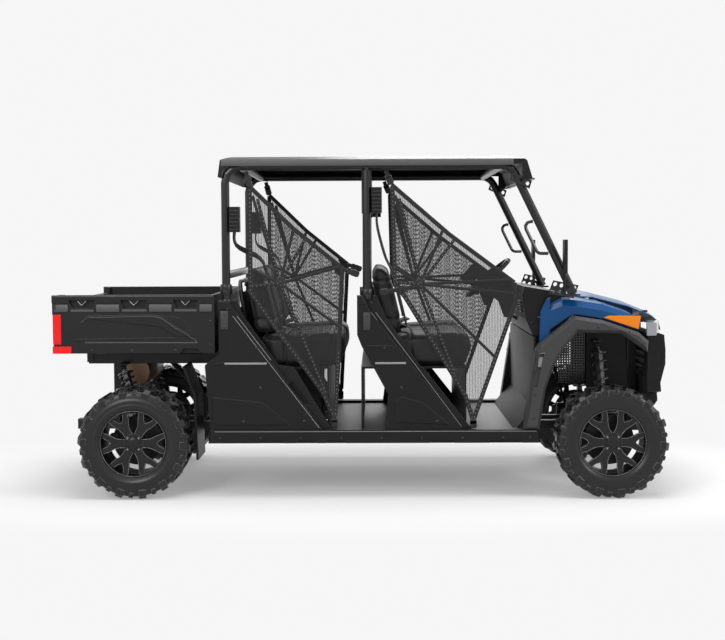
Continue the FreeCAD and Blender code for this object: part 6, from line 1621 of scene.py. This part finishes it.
@dataclass
class FrontTrim:
    """Grille, seams, fastenings, markers, screens and latches of the nose."""

    shop: Shop
    skin: Skin
    seams: tuple[Strip, ...] = (
        Strip(((1.06, 1.070), (1.17, 1.075), (1.40, 1.045), (1.66, 1.035)), 0.0040, 0.0020, proud=0.0004),
        Strip(((0.975, 0.865), (1.085, 0.865)), 0.0040, 0.0020, proud=0.0004))
    flare_bolts: Outline = ((1.02, 1.035), (1.10, 1.020), (1.02, 0.76), (1.03, 0.62), (1.02, 0.48), (1.20, 1.04),
                            (1.40, 1.02), (1.58, 0.99))
    flare_bolt: float = 0.008
    marker_seat: Pair = (1.060, 0.82)
    # The lower and the upper corner, then how far it goes in and how far it stands out.
    pocket: tuple[Pair, Pair, Pair] = ((1.030, 0.768), (1.088, 0.872), (0.004, 0.003))
    marker: tuple[Pair, Pair, Pair] = ((1.044, 0.782), (1.076, 0.842), (0.002, 0.008))
    shoulder: Outline = ((1.062, 0.920), (1.068, 1.108), (1.108, 1.184), (1.127, 1.190), (1.127, 0.955))
    shoulder_reach: float = 0.664
    shoulder_thick: float = 0.025
    shoulder_chamfer: float = 0.003
    seal: Outline = ((1.040, 0.880), (1.050, 1.020), (1.250, 1.070), (1.640, 1.020), (1.640, 0.985), (1.250, 0.990),
                     (1.150, 0.940))
    seal_reach: float = 0.600
    well: Outline = ((1.400, 0.560), (1.400, 0.985), (1.640, 0.985), (1.660, 0.560))
    well_reach: float = 0.330
    sheet_thick: float = 0.004
    screen: HoledPlate = HoledPlate((1.225, 0.330, 0.640), (0.165, 0.0, 0.0), (0.0, 0.0, 0.340), (10, 21), 0.30,
                                    0.003)
    nose_proud: float = 0.002
    bar_width: float = 0.014
    bar_thick: float = 0.010
    upright_width: float = 0.012
    upright_thick: float = 0.008
    ahead: float = 2.6
    nose: float = 1.805
    bar_levels: tuple[float, ...] = (0.64, 0.69, 0.74, 0.79, 0.84, 0.89)
    bar_half: float = 0.36
    bar_pitch: float = 0.06
    bar_places: int = 13
    uprights: tuple[float, ...] = (-0.30, -0.10, 0.10, 0.30)
    upright_levels: tuple[float, ...] = (0.60, 0.68, 0.76, 0.84, 0.92)
    latches: Pair = (-0.36, 0.36)
    latch_from: Pair = (1.74, 1.4)
    latch_ends: Pair = (1.725, 1.770)
    latch_half: Pair = (0.018, 0.006)
    latch_chamfer: float = 0.003

    def build(self) -> None:
        """Makes both sides and the middle."""
        for side in Side:
            self._side(side)
        self._grille()
        self._hood()

    def _side(self, side: Side) -> None:
        """Seams and fastenings of the fender and flare, with the marker, the seal and the arch's liner."""
        sense, hand, outward = side.value, side.hand, side.outward
        seams, bolts, marker, pocket = Form(), Form(), Form(), Form()
        for strip in self.seams:
            self.skin.lay(seams, strip, side)
        self.shop.place(f"{hand}_flare_seams", seams, "pale_trim", "trim")
        for along, up in self.flare_bolts:
            bolts.rivet(self.skin.side(along, up, sense), outward, self.flare_bolt)
        self.shop.place(f"{hand}_flare_bolts", bolts, "trim_gloss", "trim")
        seat = self.skin.side(*self.marker_seat, sense)
        for form, (low, high, depth) in ((pocket, self.pocket), (marker, self.marker)):
            form.patch(low, high, seat.y, sense, depth)
        self.shop.place(f"{hand}_marker_pocket", pocket, "trim_gloss", "trim")
        self.shop.place(f"{hand}_side_marker", marker, "clear_lens", "clear_lens")
        for name, outline, reach, thick, chamfer, finish in (
                ("fender_shoulder", self.shoulder, self.shoulder_reach, self.shoulder_thick, self.shoulder_chamfer,
                 "hood"),
                ("fender_seal", self.seal, self.seal_reach, self.sheet_thick, 0.0, "trim")):
            plate = Form().slab([Vector((along, sense * reach, up)) for along, up in outline], outward * thick, chamfer)
            self.shop.place(f"{hand}_{name}", plate, finish, finish)
        screen = Form().perforated(self.screen, sense)
        well = Form().slab([Vector((along, sense * self.well_reach, up)) for along, up in self.well],
                           outward * self.sheet_thick)
        self.shop.place(f"{hand}_arch_screen", screen, "trim_gloss", "trim")
        self.shop.place(f"{hand}_arch_liner", well, "trim", "trim")

    def _nose(self, places: Sequence[Pair]) -> list[Vector]:
        """Points on the nose's front, pushed out to one plane where it is open."""
        found = [self.skin.hit(Vector((self.ahead, across, level)), -AHEAD, self.nose_proud)
                 for across, level in places]
        return [Vector((place.x if place is not None and place.x > self.nose else self.nose, across, level))
                for place, (across, level) in zip(found, places)]

    def _grille(self) -> None:
        """Bars in the nose between the lamps."""
        bars = Form()
        for level in self.bar_levels:
            places = [(self.bar_pitch * index - self.bar_half, level) for index in range(self.bar_places)]
            bars.strap(self._nose(places), AHEAD, self.bar_width, self.bar_thick)
        for across in self.uprights:
            places = [(across, level) for level in self.upright_levels]
            bars.strap(self._nose(places), AHEAD, self.upright_width, self.upright_thick)
        self.shop.place("grille_bars", bars, "trim_gloss", "trim")

    def _hood(self) -> None:
        """Latches at the hood's front corners."""
        form = Form()
        wide, high = self.latch_half
        for across in self.latches:
            seat = self.skin.hit(Vector((self.latch_from[0], across, self.latch_from[1])), -UP)
            form.box((self.latch_ends[0], across - wide, seat.z - high),
                     (self.latch_ends[1], across + wide, seat.z + high), self.latch_chamfer)
        self.shop.place("hood_latches", form, "trim_gloss", "trim", "hood_body")


@dataclass
class PhotoCamera:
    """The camera at the photograph's place."""

    place: Point = (0.089, -8.33, 1.53)
    pitch_down: float = math.radians(3.52)
    yaw: float = math.radians(0.60)
    roll: float = math.radians(-0.24)
    lens: float = 63.8
    sensor: float = 36.0
    farthest: float = 200.0

    def build(self) -> None:
        """Makes the camera and sets it as the scene's own."""
        data = bpy.data.cameras.new("photo_camera")
        data.lens = self.lens
        data.sensor_width = self.sensor
        data.clip_end = self.farthest
        camera = bpy.data.objects.new("photo_camera", data)
        bpy.context.scene.collection.objects.link(camera)
        turn = (Matrix.Rotation(self.yaw, 4, "Z") @ Matrix.Rotation(math.pi / 2 - self.pitch_down, 4, "X")
                @ Matrix.Rotation(self.roll, 4, "Z"))
        camera.matrix_world = Matrix.Translation(self.place) @ turn
        bpy.context.scene.camera = camera


@dataclass
class Studio:
    """Pale floor, pale surround and soft lights."""

    pale: float = 0.922
    light: float = 0.42
    floor_half: float = 40.0
    floor_tone: float = 0.62
    floor_glow: float = 0.27
    near: float = 0.95
    far: float = 1.9
    lengthwise: float = 0.45
    aim: Point = (0.0, 0.0, 0.8)
    # Each lamp's name, place, width and power.
    lamps: tuple[tuple[str, Point, float, float], ...] = (
        ("top_softbox", (0.0, -0.5, 6.5), 5.5, 330.0),
        ("front_softbox", (-3.5, -6.5, 4.2), 3.0, 190.0),
        ("nose_softbox", (6.0, -3.0, 3.4), 2.4, 150.0),
        ("back_softbox", (1.0, 6.0, 4.0), 3.0, 150.0),
    )

    def build(self) -> None:
        """Makes the floor, the world and the lamps."""
        bpy.context.scene.view_settings.view_transform = "Standard"
        self._world()
        self._floor()
        for name, place, size, power in self.lamps:
            data = bpy.data.lights.new(name, "AREA")
            data.shape, data.size, data.energy = "DISK", size, power
            lamp = bpy.data.objects.new(name, data)
            lamp.location = place
            lamp.rotation_euler = (Vector(self.aim) - Vector(place)).to_track_quat("-Z", "Y").to_euler()
            bpy.context.scene.collection.objects.link(lamp)

    def _strength(self, graph: Graph) -> bpy.types.NodeSocket:
        """The surround's strength: pale where it is seen, dimmer where it lights."""
        return graph.maths("ADD", graph.maths("MULTIPLY", self._seen(graph), self.pale - self.light), self.light)

    @staticmethod
    def _seen(graph: Graph) -> bpy.types.NodeSocket:
        """1 for rays that show the surround itself: straight, mirrored or through glass."""
        path = graph.node("ShaderNodeLightPath")
        either = graph.maths("MAXIMUM", path.outputs["Is Camera Ray"], path.outputs["Is Glossy Ray"])
        return graph.maths("MAXIMUM", either, path.outputs["Is Transmission Ray"])

    def _world(self) -> None:
        """A pale surround that lights softly."""
        world = bpy.data.worlds.new("studio_world")
        bpy.context.scene.world = world
        world.use_nodes = True
        graph = Graph(world.node_tree)
        ground = world.node_tree.nodes["Background"]
        ground.inputs["Color"].default_value = (1.0, 1.0, 1.0, 1.0)
        graph.join(self._strength(graph), ground.inputs["Strength"])

    def _floor(self) -> None:
        """A wide pale floor that keeps the vehicle's shadow and runs into the surround."""
        mesh = bpy.data.meshes.new("studio_floor")
        half = self.floor_half
        mesh.from_pydata([(-half, -half, 0), (half, -half, 0), (half, half, 0), (-half, half, 0)], [], [(0, 1, 2, 3)])
        floor = bpy.data.objects.new("studio_floor", mesh)
        bpy.context.scene.collection.objects.link(floor)
        material = bpy.data.materials.new("pale_floor")
        material.use_nodes = True
        graph = Graph(material.node_tree)
        material.node_tree.nodes.remove(material.node_tree.nodes["Principled BSDF"])
        place = graph.node("ShaderNodeTexCoord")
        drawn = graph.node("ShaderNodeVectorMath", operation="MULTIPLY")
        drawn.inputs[1].default_value = (self.lengthwise, 1.0, 1.0)
        graph.join(place.outputs["Object"], drawn.inputs[0])
        reach = graph.node("ShaderNodeVectorMath", operation="LENGTH")
        graph.join(drawn.outputs["Vector"], reach.inputs[0])
        away = graph.node("ShaderNodeMapRange", interpolation_type="SMOOTHSTEP")
        away.inputs["From Min"].default_value = self.near
        away.inputs["From Max"].default_value = self.far
        graph.join(reach.outputs["Value"], away.inputs["Value"])
        cloth = graph.node("ShaderNodeBsdfDiffuse")
        cloth.inputs["Color"].default_value = (self.floor_tone, self.floor_tone, self.floor_tone, 1.0)
        glow = graph.node("ShaderNodeEmission")
        graph.join(graph.maths("MULTIPLY", self._seen(graph), self.floor_glow), glow.inputs["Strength"])
        both = graph.node("ShaderNodeAddShader")
        graph.join(cloth.outputs[0], both.inputs[0])
        graph.join(glow.outputs[0], both.inputs[1])
        distant = graph.node("ShaderNodeEmission")
        graph.join(self._strength(graph), distant.inputs["Strength"])
        mixed = graph.node("ShaderNodeMixShader")
        graph.join(away.outputs["Result"], mixed.inputs["Fac"])
        graph.join(both.outputs[0], mixed.inputs[1])
        graph.join(distant.outputs[0], mixed.inputs[2])
        graph.join(mixed.outputs[0], material.node_tree.nodes["Material Output"].inputs["Surface"])
        mesh.materials.append(material)
        floor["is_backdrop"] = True


@dataclass
class FrameDress:
    """Gives every CAD node its finish by the record's material slot."""

    record: dict
    nodes: dict[str, bpy.types.Object]
    materials: dict[str, bpy.types.Material]

    def build(self) -> None:
        """Assigns the materials."""
        for entry in self.record["subparts"]:
            shape = self.nodes[entry["node"]]
            shape.data.materials.clear()
            shape.data.materials.append(self.materials[NODE_FINISHES.get(entry["node"], entry["material_slot"])])
            LOG.info("dressed %s", entry["node"])


def corners() -> list[list[float]]:
    """The shown object's lowest and highest corner as plain numbers."""
    return [list(corner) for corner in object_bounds()]


def main() -> None:
    """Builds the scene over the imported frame."""
    logging.basicConfig(level=logging.INFO)
    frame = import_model()
    PhotoCamera().build()
    Studio().build()
    groups = SurfaceGroups()
    materials = {slot: finish.build(groups) for slot, finish in FINISHES.items()}
    FrameDress(frame["record"], frame["nodes"], materials).build()
    skin = Skin([shape for name, shape in frame["nodes"].items() if name not in SOFT_NODES])
    shop = Shop(materials)
    Wheels(shop).build()
    DoorNets(shop).build()
    Seats(shop).build()
    Belts(shop).build()
    CargoTrim(shop, skin).build()
    CabTrim(shop, skin).build()
    FrontTrim(shop, skin).build()
    LOG.info("made %d pieces", len(shop.made))


if __name__ == "__main__":
    main()
